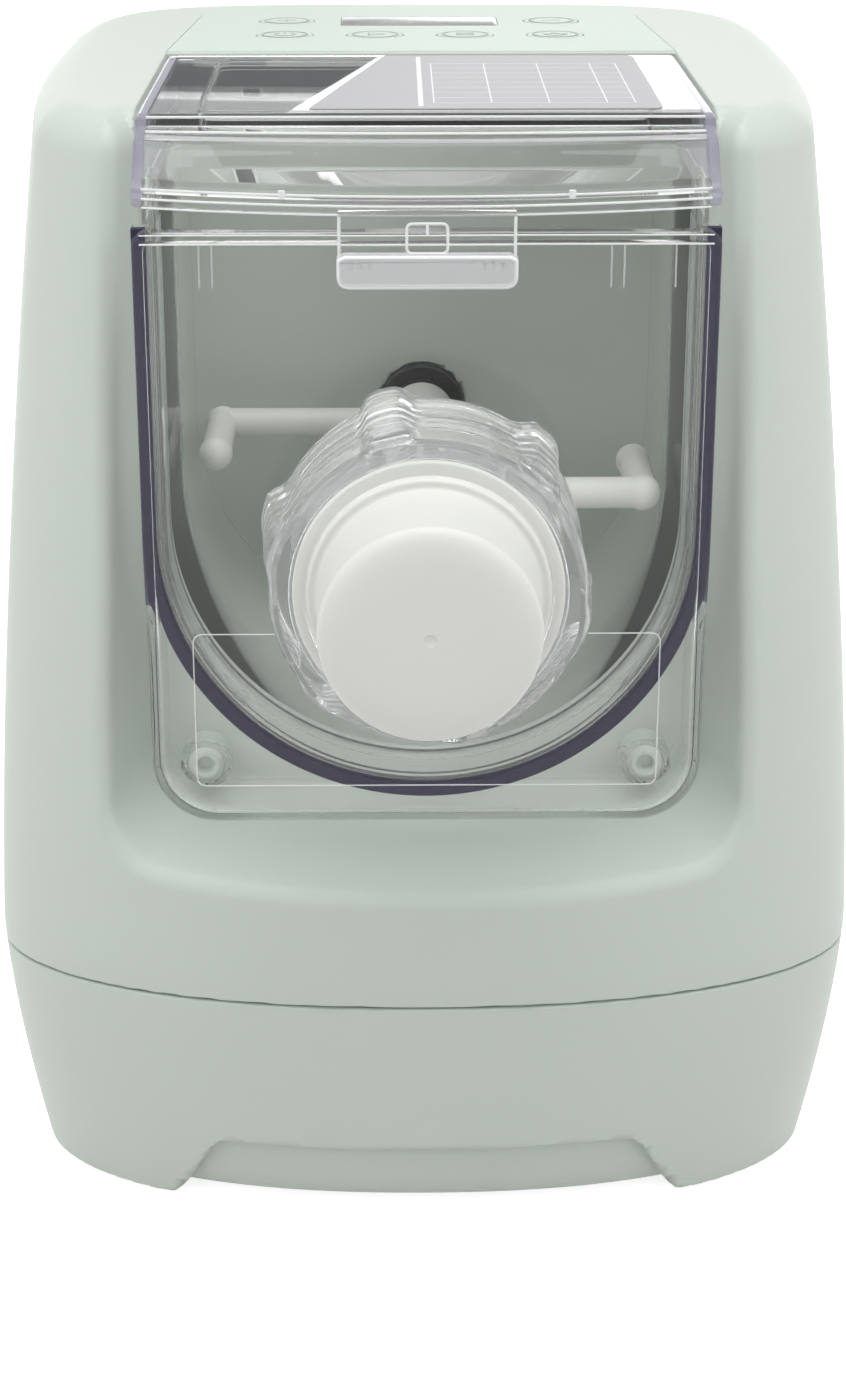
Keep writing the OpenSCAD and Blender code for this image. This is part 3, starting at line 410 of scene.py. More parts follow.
@dataclass(frozen=True)
class ClearResin:
    """Clear moulded resin: bright, faintly wavy faces and edges that gather a tint."""

    name: str
    tone: str = "#FFFFFF"
    rough: float = 0.015
    ior: float = 1.22
    clarity: float = 0.985  # share of the light that passes, the rest is milky
    milk: str = "#E8E9E8"
    tint: str = "#B4B3BE"
    density: float = 9.0
    wave_mm: float = 26.0
    relief_mm: float = 0.006

    def make(self) -> bpy.types.Material:
        """Build the material, or return it if it is there already."""
        found = bpy.data.materials.get(self.name)
        if found:
            return found
        mat = blank(self.name)
        mat.diffuse_color = (*linear(self.tone)[:3], 0.4)
        tree = mat.node_tree
        place = add(tree, "ShaderNodeTexCoord").outputs["Object"]
        # The mould's flow leaves long shallow waves, which bend what is seen through it
        flow = {"Vector": place, "Scale": PER_MM / self.wave_mm, "Detail": 1.5}
        waves = add(tree, "ShaderNodeTexNoise", flow).outputs["Fac"]
        normal = relief(tree, waves, self.relief_mm)
        glass = add(
            tree,
            "ShaderNodeBsdfPrincipled",
            {
                "Base Color": linear(self.tone),
                "Roughness": self.rough,
                "Normal": normal,
                "IOR": self.ior,
                "Transmission Weight": 1.0,
            },
        )
        milk = add(
            tree,
            "ShaderNodeBsdfPrincipled",
            {"Base Color": linear(self.milk), "Roughness": 0.3, "Normal": normal, "IOR": self.ior},
        )
        surface = add(tree, "ShaderNodeMixShader", {0: self.clarity, 1: milk.outputs[0], 2: glass.outputs[0]})
        body = {"Color": linear(self.tint), "Density": self.density}
        inside = add(tree, "ShaderNodeVolumeAbsorption", body)
        add(tree, "ShaderNodeOutputMaterial", {"Surface": surface.outputs[0], "Volume": inside.outputs[0]})
        return mat


@dataclass(frozen=True)
class Paint:
    """Every finish of the machine, by its common name."""

    # Satin housing: spark-eroded mould grain breaks up the highlights
    sage = Finish(
        "sage_spark_eroded_abs",
        "#BBC3BB",
        "#B7C0B7",
        0.5,
        ior=1.45,
        patch_mm=70,
        grain_mm=0.9,
        relief_mm=0.01,
        sheen=0.15,
    )
    # Control panel: a finer grain than the housing's, and mintier
    mint = Finish("mint_satin_abs", "#BEC9C0", "#BBC6BD", 0.5, 0.03, ior=1.4, grain_mm=1.2, relief_mm=0.003)
    clear = ClearResin("clear_moulded_resin", clarity=0.995, relief_mm=0.0015)
    # Edges and beads: milky and pale, a painted highlight along the clear mouldings' edges
    edge = ClearResin("painted_highlight_resin", rough=0.05, ior=1.3, clarity=0.3, milk="#EFF0F0", relief_mm=0.001)
    # Chamber: the same resin with the haze of a drawn core
    haze = ClearResin("hazy_moulded_resin", rough=0.04, ior=1.12, density=4.0, relief_mm=0.001, clarity=0.97)
    # Lid: the same resin, with fewer waves
    lid = ClearResin("lid_moulded_resin", ior=1.3, tint="#A9A7B8", density=5.0, relief_mm=0.004)
    # The lid's end walls: thick, so that they gather a violet grey; their milky violet grey share is painted
    # shade
    thick = ClearResin(
        "thick_shaded_resin", ior=1.2, milk="#A6A6B4", clarity=0.45, tint="#A9A7B8", relief_mm=0.003
    )
    # The handle tab's lip, the thickest part, and the roll's bead: milky and pale, a painted highlight
    lip = ClearResin("milky_highlight_resin", ior=1.3, milk="#F4F4F8", clarity=0.7, relief_mm=0.002)
    # Ring nut: fine ribs that catch the light, over a faintly milky core
    frost = ClearResin(
        "ribbed_moulded_resin",
        ior=1.4,
        rough=0.01,
        density=4.0,
        relief_mm=0.001,
        clarity=0.86,
        milk="#DCDEDE",
    )
    # Printed film: milky, so that what lies under it goes soft
    film = Finish("frosted_printed_film", "#A3A3A5", "#9F9FA1", 0.5, grain_mm=0.5, relief_mm=0.004)
    # Display: dark acrylic that mirrors a little of the room
    smoke = Finish(
        "grey_tinted_acrylic", "#666A67", "#626663", 0.2, 0.02, ior=1.4, grain_mm=2, relief_mm=0.001
    )
    navy = Finish("navy_moulded_silicone", "#242139", "#201D35", 0.5, ior=1.3, grain_mm=0.6, relief_mm=0.006)
    # Nozzle, die, auger and paddle: dense white, with light that sinks in a little
    white = Finish(
        "white_moulded_acetal",
        "#D3D4CF",
        "#D0D1CC",
        0.42,
        0.03,
        ior=1.42,
        grain_mm=0.7,
        relief_mm=0.004,
        subsurface=0.15,
    )
    rubber = Finish("black_moulded_rubber", "#2A2A2C", "#252527", 0.7, grain_mm=0.5, relief_mm=0.02)
    black = Finish("black_moulded_nylon", "#232325", "#1F1F21", 0.48, grain_mm=0.6, relief_mm=0.012)
    steel = Turned("turned_steel", "#C4C6C9", "#B9BBBE", 0.28, metallic=1.0, relief_mm=0.004)
    zinc = Finish("cast_zinc_alloy", "#8F9294", "#85888A", 0.5, metallic=0.9, grain_mm=1.4, relief_mm=0.05)
    nylon = Finish(
        "moulded_gear_nylon", "#E4DFCB", "#DDD7C2", 0.4, grain_mm=0.8, relief_mm=0.006, subsurface=0.1
    )
    brass = Turned("hobbed_brass", "#C9A869", "#BE9C5C", 0.3, metallic=1.0, relief_mm=0.003)
    copper = Laminated("laminated_rotor", "#6E4B36", "#5E3F2D", 0.45, metallic=0.6, relief_mm=0.05)
    board = Tracked("solder_masked_board", "#1D5A3A", "#1A5235", 0.3, grain_mm=0.6, relief_mm=0.01)
    # Grey key print, a little rougher than the panel under it
    ink = Finish("grey_pad_print", "#A3AAA5", "#9FA6A1", 0.5, grain_mm=0.5, relief_mm=0.002)
    rule = Finish("white_screen_print", "#DADADB", "#D6D6D8", 0.5, grain_mm=0.5, relief_mm=0.002)
    card = Finish("grey_card", "#7E7F81", "#7A7B7D", 0.9, grain_mm=1.0)
    ferrite = Finish("sintered_ferrite", "#3A3A3D", "#323235", 0.6, grain_mm=0.5, relief_mm=0.02)


P = Paint()


# ---- Mesh tools -------------------------------------------------------------------


def metres(points: Sequence[Sequence[float]] | np.ndarray) -> np.ndarray:
    """Turn points in the maker's millimetres into the row frame's metres."""
    out = np.asarray(points, float).reshape(-1, 3).copy()
    out[:, 1] -= MIDDLE_Y
    return out * MM


def smooth(mesh: bpy.types.Mesh, sharp_deg: float) -> None:
    """Shade a mesh smooth but for edges that turn by more than an angle."""
    mesh.polygons.foreach_set("use_smooth", [True] * len(mesh.polygons))
    mesh.set_sharp_from_angle(angle=math.radians(sharp_deg))


def placed(name: str, data: bpy.types.ID) -> bpy.types.Object:
    """Put a mesh or a curve into the scene as a new object."""
    obj = bpy.data.objects.new(name, data)
    bpy.context.scene.collection.objects.link(obj)
    return obj


def solid(
    name: str,
    points: Sequence[Sequence[float]] | np.ndarray,
    faces: Sequence[Sequence[int]],
    sharp_deg: float = SHARP,
) -> bpy.types.Object:
    """Make a mesh object with outward normals, smooth but for its sharp edges.

    Args:
        name: name of the piece.
        points: corners in millimetres.
        faces: corner numbers of each face.
        sharp_deg: edges that turn by more stay sharp.

    Returns:
        The new object, linked to the scene.
    """
    mesh = bpy.data.meshes.new(name)
    mesh.from_pydata(metres(points).tolist(), [], [tuple(map(int, f)) for f in faces])
    mesh.validate()
    bm = bmesh.new()
    bm.from_mesh(mesh)
    bmesh.ops.remove_doubles(bm, verts=bm.verts, dist=1e-6)
    bmesh.ops.recalc_face_normals(bm, faces=bm.faces)
    bm.to_mesh(mesh)
    bm.free()
    smooth(mesh, sharp_deg)
    return placed(name, mesh)


def fillet(
    points: Sequence[Point2], radius: float | Sequence[float], closed: bool = True, n: int = 5
) -> list[Point2]:
    """Round the corners of a flat outline.

    Args:
        points: corners in order.
        radius: one rounding for all corners, or one for each.
        closed: whether the last corner joins the first.
        n: steps along each rounding.

    Returns:
        The finer outline.
    """
    count = len(points)
    radii = [radius] * count if isinstance(radius, (int, float)) else list(radius)
    out: list[Point2] = []
    for i, point in enumerate(points):
        if radii[i] <= 0 or (not closed and i in (0, count - 1)):
            out.append(tuple(point))
            continue
        here = Vector(point)
        back, ahead = Vector(points[i - 1]) - here, Vector(points[(i + 1) % count]) - here
        room = 0.49 * min(back.length, ahead.length)
        half = back.angle(ahead) / 2
        reach = min(radii[i] / max(math.tan(half), 1e-6), room)
        start, end = here + back.normalized() * reach, here + ahead.normalized() * reach
        for k in range(n + 1):
            t = k / n
            spot = start * (1 - t) ** 2 + here * 2 * t * (1 - t) + end * t * t
            out.append((spot.x, spot.y))
    return out


def loft(
    name: str, rings: Sequence[Sequence[Sequence[float]]], around: bool = False, sharp_deg: float = SHARP
) -> bpy.types.Object:
    """Join rings of equal point counts into a closed piece.

    Args:
        name: name of the piece.
        rings: rings in order, in millimetres.
        around: whether the last ring joins the first, or both ends get a face.
        sharp_deg: edges that turn by more stay sharp.

    Returns:
        The new object.
    """
    n, m = len(rings[0]), len(rings)
    points = [p for ring in rings for p in ring]
    faces: list[Sequence[int]] = []
    for j in range(m if around else m - 1):
        a, b = j * n, ((j + 1) % m) * n
        faces += [(a + i, b + i, b + (i + 1) % n, a + (i + 1) % n) for i in range(n)]
    if not around:
        faces += [range(n), [(m - 1) * n + i for i in reversed(range(n))]]
    return solid(name, points, faces, sharp_deg)


def turn(
    name: str,
    profile: Sequence[Point2],
    centre: Point2,
    upright: bool = False,
    steps: int = 96,
    swell: Callable[[float, float, float], float] | None = None,
    sharp_deg: float = SHARP,
) -> bpy.types.Object:
    """Turn a closed profile of radius and place round a line along y, or z if upright.

    Args:
        name: name of the piece.
        profile: radius and place along the line, in order round the section.
        centre: x and z of the line, or x and y if upright.
        upright: whether the line stands up.
        steps: number of steps round the line.
        swell: extra radius at an angle in radians, a radius and a place along the line.
        sharp_deg: edges that turn by more stay sharp.

    Returns:
        The new object.
    """
    rings = []
    for k in range(steps):
        f = 2 * math.pi * k / steps
        ring = []
        for r, at in profile:
            reach = r + (swell(f, r, at) if swell else 0.0)
            a, b = centre[0] + reach * math.cos(f), centre[1] + reach * math.sin(f)
            ring.append((a, b, at) if upright else (a, at, b))
        rings.append(ring)
    return loft(name, rings, around=True, sharp_deg=sharp_deg)


def slab(
    name: str,
    outline: Sequence[Point2],
    low: float,
    high: float,
    edge: float,
    flat: bool = False,
    segments: int = 3,
) -> bpy.types.Object:
    """Thicken an outline and round the edges of both faces.

    Args:
        name: name of the piece.
        outline: corners in x and z, or in x and y if flat.
        low: start of the thickness, along y, or z if flat.
        high: end of the thickness.
        edge: rounding of the edges.
        flat: whether the slab lies flat.
        segments: steps of the rounding.

    Returns:
        The new object.
    """
    rings = []
    angles = np.linspace(0, math.pi / 2, segments + 1)
    steps = [(edge * (1 - math.sin(t)), edge * (1 - math.cos(t))) for t in angles]
    stations = [(low + d, s) for s, d in steps] + [(high - d, s) for s, d in reversed(steps)]
    for at, draw in stations:
        inner = inset(outline, draw)
        rings.append([(p[0], p[1], at) if flat else (p[0], at, p[1]) for p in inner])
    return loft(name, rings)


def inset(outline: Sequence[Point2], by: float) -> list[Point2]:
    """Move a closed outline inwards along its corner normals."""
    pts = np.asarray(outline, float)
    ahead = np.roll(pts, -1, 0) - pts
    ahead /= np.maximum(np.linalg.norm(ahead, axis=1, keepdims=True), 1e-9)
    back = np.roll(ahead, 1, 0)
    area = 0.5 * np.sum(pts[:, 0] * np.roll(pts[:, 1], -1) - np.roll(pts[:, 0], -1) * pts[:, 1])
    side = 1.0 if area > 0 else -1.0
    n1, n2 = (np.stack([-d[:, 1], d[:, 0]], 1) * side for d in (ahead, back))
    mid = n1 + n2
    mid /= np.maximum(np.sum(mid * n1, axis=1, keepdims=True), 0.3)
    return [tuple(p) for p in pts + mid * by]


def sweep(
    name: str, path: Sequence[Point3], radius: float, closed: bool = False, sides: int = 10
) -> bpy.types.Object:
    """Sweep a round bead along a path.

    Args:
        name: name of the piece.
        path: points of the bead's middle line.
        radius: radius of the bead.
        closed: whether the path returns to its start.
        sides: steps round the bead.

    Returns:
        The new object.
    """
    pts = [Vector(p) for p in path]
    rings = []
    side = Vector((0.0, 1.0, 0.0))
    angles = np.linspace(0, 2 * math.pi, sides, endpoint=False)
    for i, point in enumerate(pts):
        after = pts[(i + 1) % len(pts)] if closed or i < len(pts) - 1 else point
        before = pts[i - 1] if closed or i else point
        along = (after - before).normalized()
        u = (side - along * side.dot(along)).normalized()
        v = along.cross(u)
        rings.append([tuple(point + radius * (u * math.cos(a) + v * math.sin(a))) for a in angles])
    return loft(name, rings, around=closed)


def join(pieces: Sequence[bpy.types.Object], name: str) -> bpy.types.Object:
    """Gather closed pieces of one moulding into one object.

    Args:
        pieces: objects to gather, which are used up.
        name: name of the result.

    Returns:
        The gathered object.
    """
    bm = bmesh.new()
    for piece in pieces:
        bm.from_mesh(piece.data)
    mesh = bpy.data.meshes.new(name)
    bm.to_mesh(mesh)
    bm.free()
    for piece in pieces:
        bpy.data.objects.remove(piece)
    smooth(mesh, SHARP)
    return placed(name, mesh)


def baked(obj: bpy.types.Object) -> bpy.types.Mesh:
    """Return the mesh that an object has with its modifiers or its curve worked out."""
    return bpy.data.meshes.new_from_object(obj.evaluated_get(bpy.context.evaluated_depsgraph_get()))


def carve(target: bpy.types.Object, cutters: Sequence[bpy.types.Object]) -> bpy.types.Object:
    """Cut pieces out of a target.

    Args:
        target: object that is cut.
        cutters: objects that cut, which are used up.

    Returns:
        The target with its new mesh.
    """
    for cutter in cutters:
        mod = target.modifiers.new("cut", "BOOLEAN")
        mod.object = cutter
        mod.solver = "EXACT"
        mod.operation = "DIFFERENCE"
    made = baked(target)
    target.modifiers.clear()
    old, target.data = target.data, made
    made.name = target.name
    bpy.data.meshes.remove(old)
    for cutter in cutters:
        bpy.data.objects.remove(cutter)
    smooth(made, CUT_SHARP)
    return target


def block(name: str, low: Point3, high: Point3) -> bpy.types.Object:
    """Make a plain box, for cutting and for flat pieces."""
    points = [(x, y, z) for x in (low[0], high[0]) for y in (low[1], high[1]) for z in (low[2], high[2])]
    faces = [(0, 1, 3, 2), (4, 6, 7, 5), (0, 4, 5, 1), (2, 3, 7, 6), (0, 2, 6, 4), (1, 5, 7, 3)]
    return solid(name, points, faces)


def dress(
    obj: bpy.types.Object,
    finish: Finish | ClearResin,
    body: Body | str,
    slot: Slot,
    *nodes: str,
) -> bpy.types.Object:
    """Give a piece its finish and its body, and hide the nodes that it stands for.

    Args:
        obj: the piece.
        finish: its finish.
        body: body that it moves with.
        slot: the record's material slot; not used.
        *nodes: CAD nodes that it replaces.

    Returns:
        The piece.
    """
    obj.data.materials.clear()
    obj.data.materials.append(finish.make())
    if isinstance(finish, ClearResin):
        let_light_through(obj)
    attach(obj, body.value if isinstance(body, Body) else body)
    if nodes:
        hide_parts(*nodes)
    return obj


def let_light_through(obj: bpy.types.Object) -> None:
    """Let lamps light what lies behind a clear piece."""
    obj.visible_shadow = False
    obj.visible_diffuse = False


def finish_node(node: bpy.types.Object, finish: Finish | ClearResin) -> None:
    """Give a CAD node that stays in view its finish."""
    mat = finish.make()
    if not node.material_slots:
        node.data.materials.append(mat)
    for held in node.material_slots:
        held.material = mat
    if isinstance(finish, ClearResin):
        let_light_through(node)


# ---- Moulded forms from fields ----------------------------------------------------


def soft_and(a: np.ndarray, b: np.ndarray, r: float | np.ndarray) -> np.ndarray:
    """Keep what two fields both hold, with a round edge between them.

    Args:
        a: first field, negative inside.
        b: second field.
        r: radius of the edge.

    Returns:
        The joint field.
    """
    return np.minimum(-r, np.maximum(a, b)) + np.hypot(np.maximum(a + r, 0), np.maximum(b + r, 0))


def lines(
    low: float, high: float, step: float, fine: Sequence[tuple[float, float, float]] = ()
) -> np.ndarray:
    """Places of grid lines with closer spacing in some spans.

    Args:
        low: first line.
        high: last line.
        step: usual spacing.
        fine: start, end and spacing of each closer span.

    Returns:
        Sorted places.
    """
    room = 0.3 * step  # between a usual line and a closer span

    def free(x: float) -> bool:
        """Whether a usual line keeps clear of every closer span."""
        return not any(a - room < x < b + room for a, b, _ in fine)

    spots = [x for x in np.arange(low, high + step, step) if free(x)]
    for a, b, s in fine:
        spots += list(np.linspace(a, b, max(2, round((b - a) / s) + 1)))
    return np.array(sorted(set(np.round(spots, 4))))


def skin(name: str, field: Field, xs: np.ndarray, ys: np.ndarray, zs: np.ndarray) -> bpy.types.Object:
    """Mesh the surface where a field is zero, mirrored about x = 0.

    One corner per crossed cell is put at the mean of its crossings, then moved onto the
    surface along the field's slope, which also gives the normals.

    Args:
        name: name of the piece.
        field: field that is negative inside, symmetric in x.
        xs: grid lines across, above zero.
        ys: grid lines along the depth.
        zs: grid lines up.

    Returns:
        The new object.
    """
    half = field(xs[:, None, None], ys[None, :, None], zs[None, None, :])
    half = np.broadcast_to(half, (len(xs), len(ys), len(zs)))
    grid = np.concatenate([half[::-1], half], 0)
    axes = [np.concatenate([-xs[::-1], xs]), ys, zs]
    shape = tuple(k - 1 for k in grid.shape)
    total = np.zeros(shape + (3,))
    count = np.zeros(shape)
    crossed = []
    for axis in range(3):
        a = np.take(grid, range(grid.shape[axis] - 1), axis)
        b = np.take(grid, range(1, grid.shape[axis]), axis)
        hit = (a < 0) != (b < 0)
        share = np.where(hit, a / np.where(hit, a - b, 1), 0)
        crossed.append((hit, a < 0))
        start = axes[axis][:-1]
        gap = np.diff(axes[axis])
        view = [1, 1, 1]
        view[axis] = -1
        along = start.reshape(view) + share * gap.reshape(view)
        others = [k for k in range(3) if k != axis]
        for du in (0, 1):
            for dv in (0, 1):
                cut = [slice(None)] * 3
                cut[others[0]] = slice(du, grid.shape[others[0]] - 1 + du)
                cut[others[1]] = slice(dv, grid.shape[others[1]] - 1 + dv)
                part = hit[tuple(cut)]
                count += part
                total[..., axis] += np.where(part, along[tuple(cut)], 0)
                for k, d in ((others[0], du), (others[1], dv)):
                    edge = [1, 1, 1]
                    edge[k] = -1
                    total[..., k] += np.where(part, axes[k][d : len(axes[k]) - 1 + d].reshape(edge), 0)
    used = count > 0
    index = np.full(shape, -1)
    index[used] = np.arange(int(used.sum()))
    points = total[used] / count[used][:, None]
    faces = []
    for axis in range(3):
        hit, inside = crossed[axis]
        u, v = [k for k in range(3) if k != axis]
        where = np.argwhere(hit)
        keep = (where[:, u] > 0) & (where[:, v] > 0) & (where[:, u] < shape[u]) & (where[:, v] < shape[v])
        where = where[keep]
        flip = inside[tuple(where.T)] ^ (axis == 1)
        corners = []
        for du, dv in ((0, 0), (-1, 0), (-1, -1), (0, -1)):
            cell = where.copy()
            cell[:, u] += du
            cell[:, v] += dv
            corners.append(index[tuple(cell.T)])
        quad = np.stack(corners, 1)
        quad[~flip] = quad[~flip][:, ::-1]
        faces.append(quad)
    faces = np.concatenate(faces)
    points, normals = settle(field, points)
    return shaded(name, points, faces, normals)


def settle(
    field: Field, points: np.ndarray, steps: int = 3, far: float = 0.7
) -> tuple[np.ndarray, np.ndarray]:
    """Move points onto a field's surface and find its normals there.

    Args:
        field: the field.
        points: points near its surface.
        steps: number of moves.
        far: longest move.

    Returns:
        The moved points and their unit normals.
    """
    h = 0.12  # half the span over which the slope is taken
    slope = np.zeros_like(points)
    for turn_no in range(steps + 1):
        here = field(points[:, 0], points[:, 1], points[:, 2])
        for k in range(3):
            ahead, back = points.copy(), points.copy()
            ahead[:, k] += h
            back[:, k] -= h
            slope[:, k] = (field(*ahead.T) - field(*back.T)) / (2 * h)
        size = np.maximum(np.linalg.norm(slope, axis=1), 0.3)
        if turn_no < steps:
            move = np.clip(here / size, -far, far)
            points = points - slope * (move / size)[:, None]
    return points, slope / np.maximum(np.linalg.norm(slope, axis=1, keepdims=True), 1e-9)


def shaded(name: str, points: np.ndarray, faces: np.ndarray, normals: np.ndarray) -> bpy.types.Object:
    """Make a mesh object that carries given corner normals."""
    mesh = bpy.data.meshes.new(name)
    mesh.from_pydata(metres(points).tolist(), [], faces.tolist())
    mesh.update()
    mesh.polygons.foreach_set("use_smooth", [True] * len(mesh.polygons))
    mesh.normals_split_custom_set_from_vertices(normals.tolist())
    return placed(name, mesh)


# ---- Casing -----------------------------------------------------------------------


@dataclass
class Casing:
    """Sage housing, base shell and bottom pan, all from one outline."""

    step: float = 2.4  # usual spacing of the lines on which the surface is found
    half_x: float = 119.0  # their outermost place across
    span_y: tuple[float, float] = (-10.5, 250.0)  # and their ends along the depth
    taper_power: float = 1.7  # how late the sides draw in above the belly
    lean_power: float = 1.4  # how late the front leans back above the belly
    low_power: float = 1.5  # how late the base draws in below the belly
    front_power: float = 2.2  # squareness of the front corners
    rear_power: int = 4  # squareness of the rear corners
    narrow: float = 0.08  # share by which the front is narrower than the middle
    narrow_top: float = 0.113  # further share at the top
    rear_tuck: float = 8.0  # how far the back draws in from the belly to the floor
    front_tuck: float = 6.0  # how far the front draws back from the belly to the floor
    edge_low: float = 3.2  # rounding of the recess's outer edge at the sill
    edge_high: float = 4.5  # and near the lid
    edge_z: tuple[float, float] = (110.0, 250.0)  # heights between which it grows
    insert_gap: float = 0.2
    insert_r: float = 16.0
    seam_gap: float = 0.35
    seam_r: float = 0.7
    skin_t: float = 5.0  # depth of the moulding where the inside isn't seen
    vent_n: int = 9
    vent_z: float = 92.0
    vent_pitch: float = 7.0
    vent_h: float = 3.2
    vent_x: float = 38.0
    vent_d: float = 14.0
    shaft_hole_r: float = 12.0
    key_hole_r: float = 10.6
    display_hole: tuple[float, float] = (22.0, 9.5)  # half its width and depth
    foot_x: float = 89.31
    foot_y: tuple[float, float] = (46.0, 205.0)
    foot_boss: tuple[float, float] = (14.0, 24.0)  # radius and height of the boss over a foot
    foot_seat: tuple[float, float] = (9.1, 3.5)  # radius and depth of a foot's seat
    post_y: tuple[float, float] = (60.0, 188.0)
    post_r: float = 5.5
    post_in: float = 5.0  # from the wall's inside to a post's middle
    arch_run: float = 17.0  # width over which the arch comes down to the foot
    arch_d: float = 32.0  # how far the arches reach in from the front and the back
    tongue_in: float = 1.6  # from the outside to the tongue inside the seam
    tongue_up: float = 0.25  # how far the tongue stands over the seam
    tongue_down: float = 3.0  # and reaches below it
    inlet_x: float = 13.5
    inlet_z: float = 40.0
    inlet_h: float = 10.0  # half the height of the inlet's opening
    inlet_d: float = 20.0
    pan_slots: tuple[float, ...] = (146.0, 154.0, 162.0, 170.0, 178.0, 186.0, 194.0)
    pan_slot_x: float = 35.0
    pan_hole_r: float = 14.4

    def rise(self, z: np.ndarray) -> np.ndarray:
        """Share of the way from the belly to the top."""
        return np.maximum(0, z - S.belly_z) / (S.body_h - S.belly_z)

    def drop(self, z: np.ndarray) -> np.ndarray:
        """Share of the way from the belly to the floor."""
        return np.maximum(0, S.belly_z - z) / S.belly_z

    def side_x(self, z: np.ndarray) -> np.ndarray:
        """Half width at a height, before the spread towards the back."""
        taper = S.side_taper * self.rise(z) ** self.taper_power
        return S.body_w / 2 - taper - S.base_taper * self.drop(z) ** self.low_power

    def front_y(self, z: np.ndarray) -> np.ndarray:
        """Place of the front at a height."""
        lean = S.front_lean * self.rise(z) ** self.lean_power
        return -S.belly_bulge + lean + self.front_tuck * self.drop(z) ** self.low_power

    def rear_y(self, z: np.ndarray) -> np.ndarray:
        """Place of the back at a height."""
        return S.body_d - self.rear_tuck * self.drop(z) ** self.low_power

    def spread(self, z: np.ndarray, y: np.ndarray) -> np.ndarray:
        """How much narrower the housing is at a depth than at its widest."""
        ahead = np.maximum(0, S.wide_y - y) / (S.wide_y + S.belly_bulge)
        return 1 - (self.narrow + self.narrow_top * self.rise(z)) * ahead**2

    def raw(self, x: np.ndarray, y: np.ndarray, z: np.ndarray) -> np.ndarray:
        """Field of the upright outline, not yet scaled to distance."""
        width = self.side_x(z) * self.spread(z, y)
        across = np.abs(x) / width
        front = np.maximum(0, self.front_y(z) + S.corner_d - y) / S.corner_d
        rear = np.maximum(0, y - S.rear_y0) / (self.rear_y(z) - S.rear_y0)
        f, r = self.front_power, self.rear_power
        behind = (across**r + rear**r) ** (1 / r)
        ahead = (across**f + front**f) ** (1 / f)
        return (np.where(rear > 0, behind, ahead) - 1) * S.corner_d

    def side(self, x: np.ndarray, y: np.ndarray, z: np.ndarray) -> np.ndarray:
        """Distance from the upright outline, negative inside."""
        h = 0.3
        here = self.raw(x, y, z)
        slope = np.sqrt(
            (self.raw(np.abs(x) + h, y, z) - here) ** 2
            + (self.raw(x, y + h, z) - here) ** 2
            + (self.raw(x, y, z + h) - here) ** 2
        )
        return here / np.maximum(slope / h, 0.25)

    def recess(self, x: np.ndarray, y: np.ndarray, z: np.ndarray) -> np.ndarray:
        """Field of the opening for the front panel, wider towards the front."""
        depth = S.floor_y - y
        side = (np.abs(x) - S.recess_x - S.side_bevel * depth) / math.hypot(1, S.side_bevel)
        sill = (S.recess_z - S.sill_bevel * depth - z) / math.hypot(1, S.sill_bevel)
        corner_r = np.maximum(S.panel_r - 0.15 * depth, 1.0)
        return np.maximum(soft_and(side, sill, corner_r), y - S.floor_y)

    def bay(self, x: np.ndarray, z: np.ndarray) -> np.ndarray:
        """Field of the round-bottomed trough that holds the chamber."""
        return np.hypot(x, np.minimum(z - S.axis_z, 0)) - S.bay_r

    def insert(self, x: np.ndarray, y: np.ndarray) -> np.ndarray:
        """Field of the seat under the control panel, a little larger than the panel."""
        gap = self.insert_gap
        along = (y - S.insert_y0) / S.insert_l
        side = np.abs(x) - (S.insert_w0 + (S.insert_w1 - S.insert_w0) * along) / 2 - gap
        rear = y - S.insert_y0 - S.insert_l - gap
        return np.maximum(soft_and(side, rear, self.insert_r), S.insert_y0 - gap - y)

    def posts(self, x: np.ndarray, y: np.ndarray, top: float, bottom: float, z: np.ndarray) -> np.ndarray:
        """Field of the screw posts inside the side walls."""
        near = np.full(np.broadcast(x, y, z).shape, 1e3)
        for at in self.post_y:
            seam = np.array(S.seam_z)
            spot = float(self.side_x(seam) * self.spread(seam, np.array(at)))
            if at > S.rear_y0:
                share = (at - S.rear_y0) / (float(self.rear_y(seam)) - S.rear_y0)
                spot *= (1 - share**self.rear_power) ** (1 / self.rear_power)
            centre = spot - S.wall - self.post_in
            near = np.minimum(near, np.hypot(np.abs(x) - centre, y - at) - self.post_r)
        return np.maximum(near, np.maximum(z - top, bottom - z))

    def key_holes(self, x: np.ndarray, y: np.ndarray) -> np.ndarray:
        """Field of the holes under the keys and the display."""
        keys = [(S.key_near, S.key_row_1), (S.key_far, S.key_row_1), (S.key_side, S.key_row_2)]
        across, along = self.display_hole
        near = np.maximum(np.abs(x) - across, np.abs(y - S.key_row_2) - along)
        for at, y_at in keys:
            near = np.minimum(near, np.hypot(np.abs(x) - at, y - y_at) - self.key_hole_r)
        return near

    def inner_walls(self, x: np.ndarray, y: np.ndarray, z: np.ndarray) -> np.ndarray:
        """Field of what stands inside the hollow: trough, bulkhead, ledge and posts."""
        keep = np.maximum(self.bay(x, z) - self.skin_t, np.maximum(y - S.bulk_y1, S.floor_y - y))
        wall_x = np.abs(x) - S.recess_x - S.wall
        keep = np.minimum(keep, np.maximum(wall_x, np.maximum(y - S.bulk_y1, S.bay_y1 - y)))
        ledge = np.maximum(np.maximum(wall_x, y - S.bulk_y1 - S.wall), S.seat_z - S.wall - z)
        keep = np.minimum(keep, np.maximum(ledge, S.floor_y - y))
        return np.minimum(keep, self.posts(x, y, S.seam_z + 22, S.seam_z - 2, z))

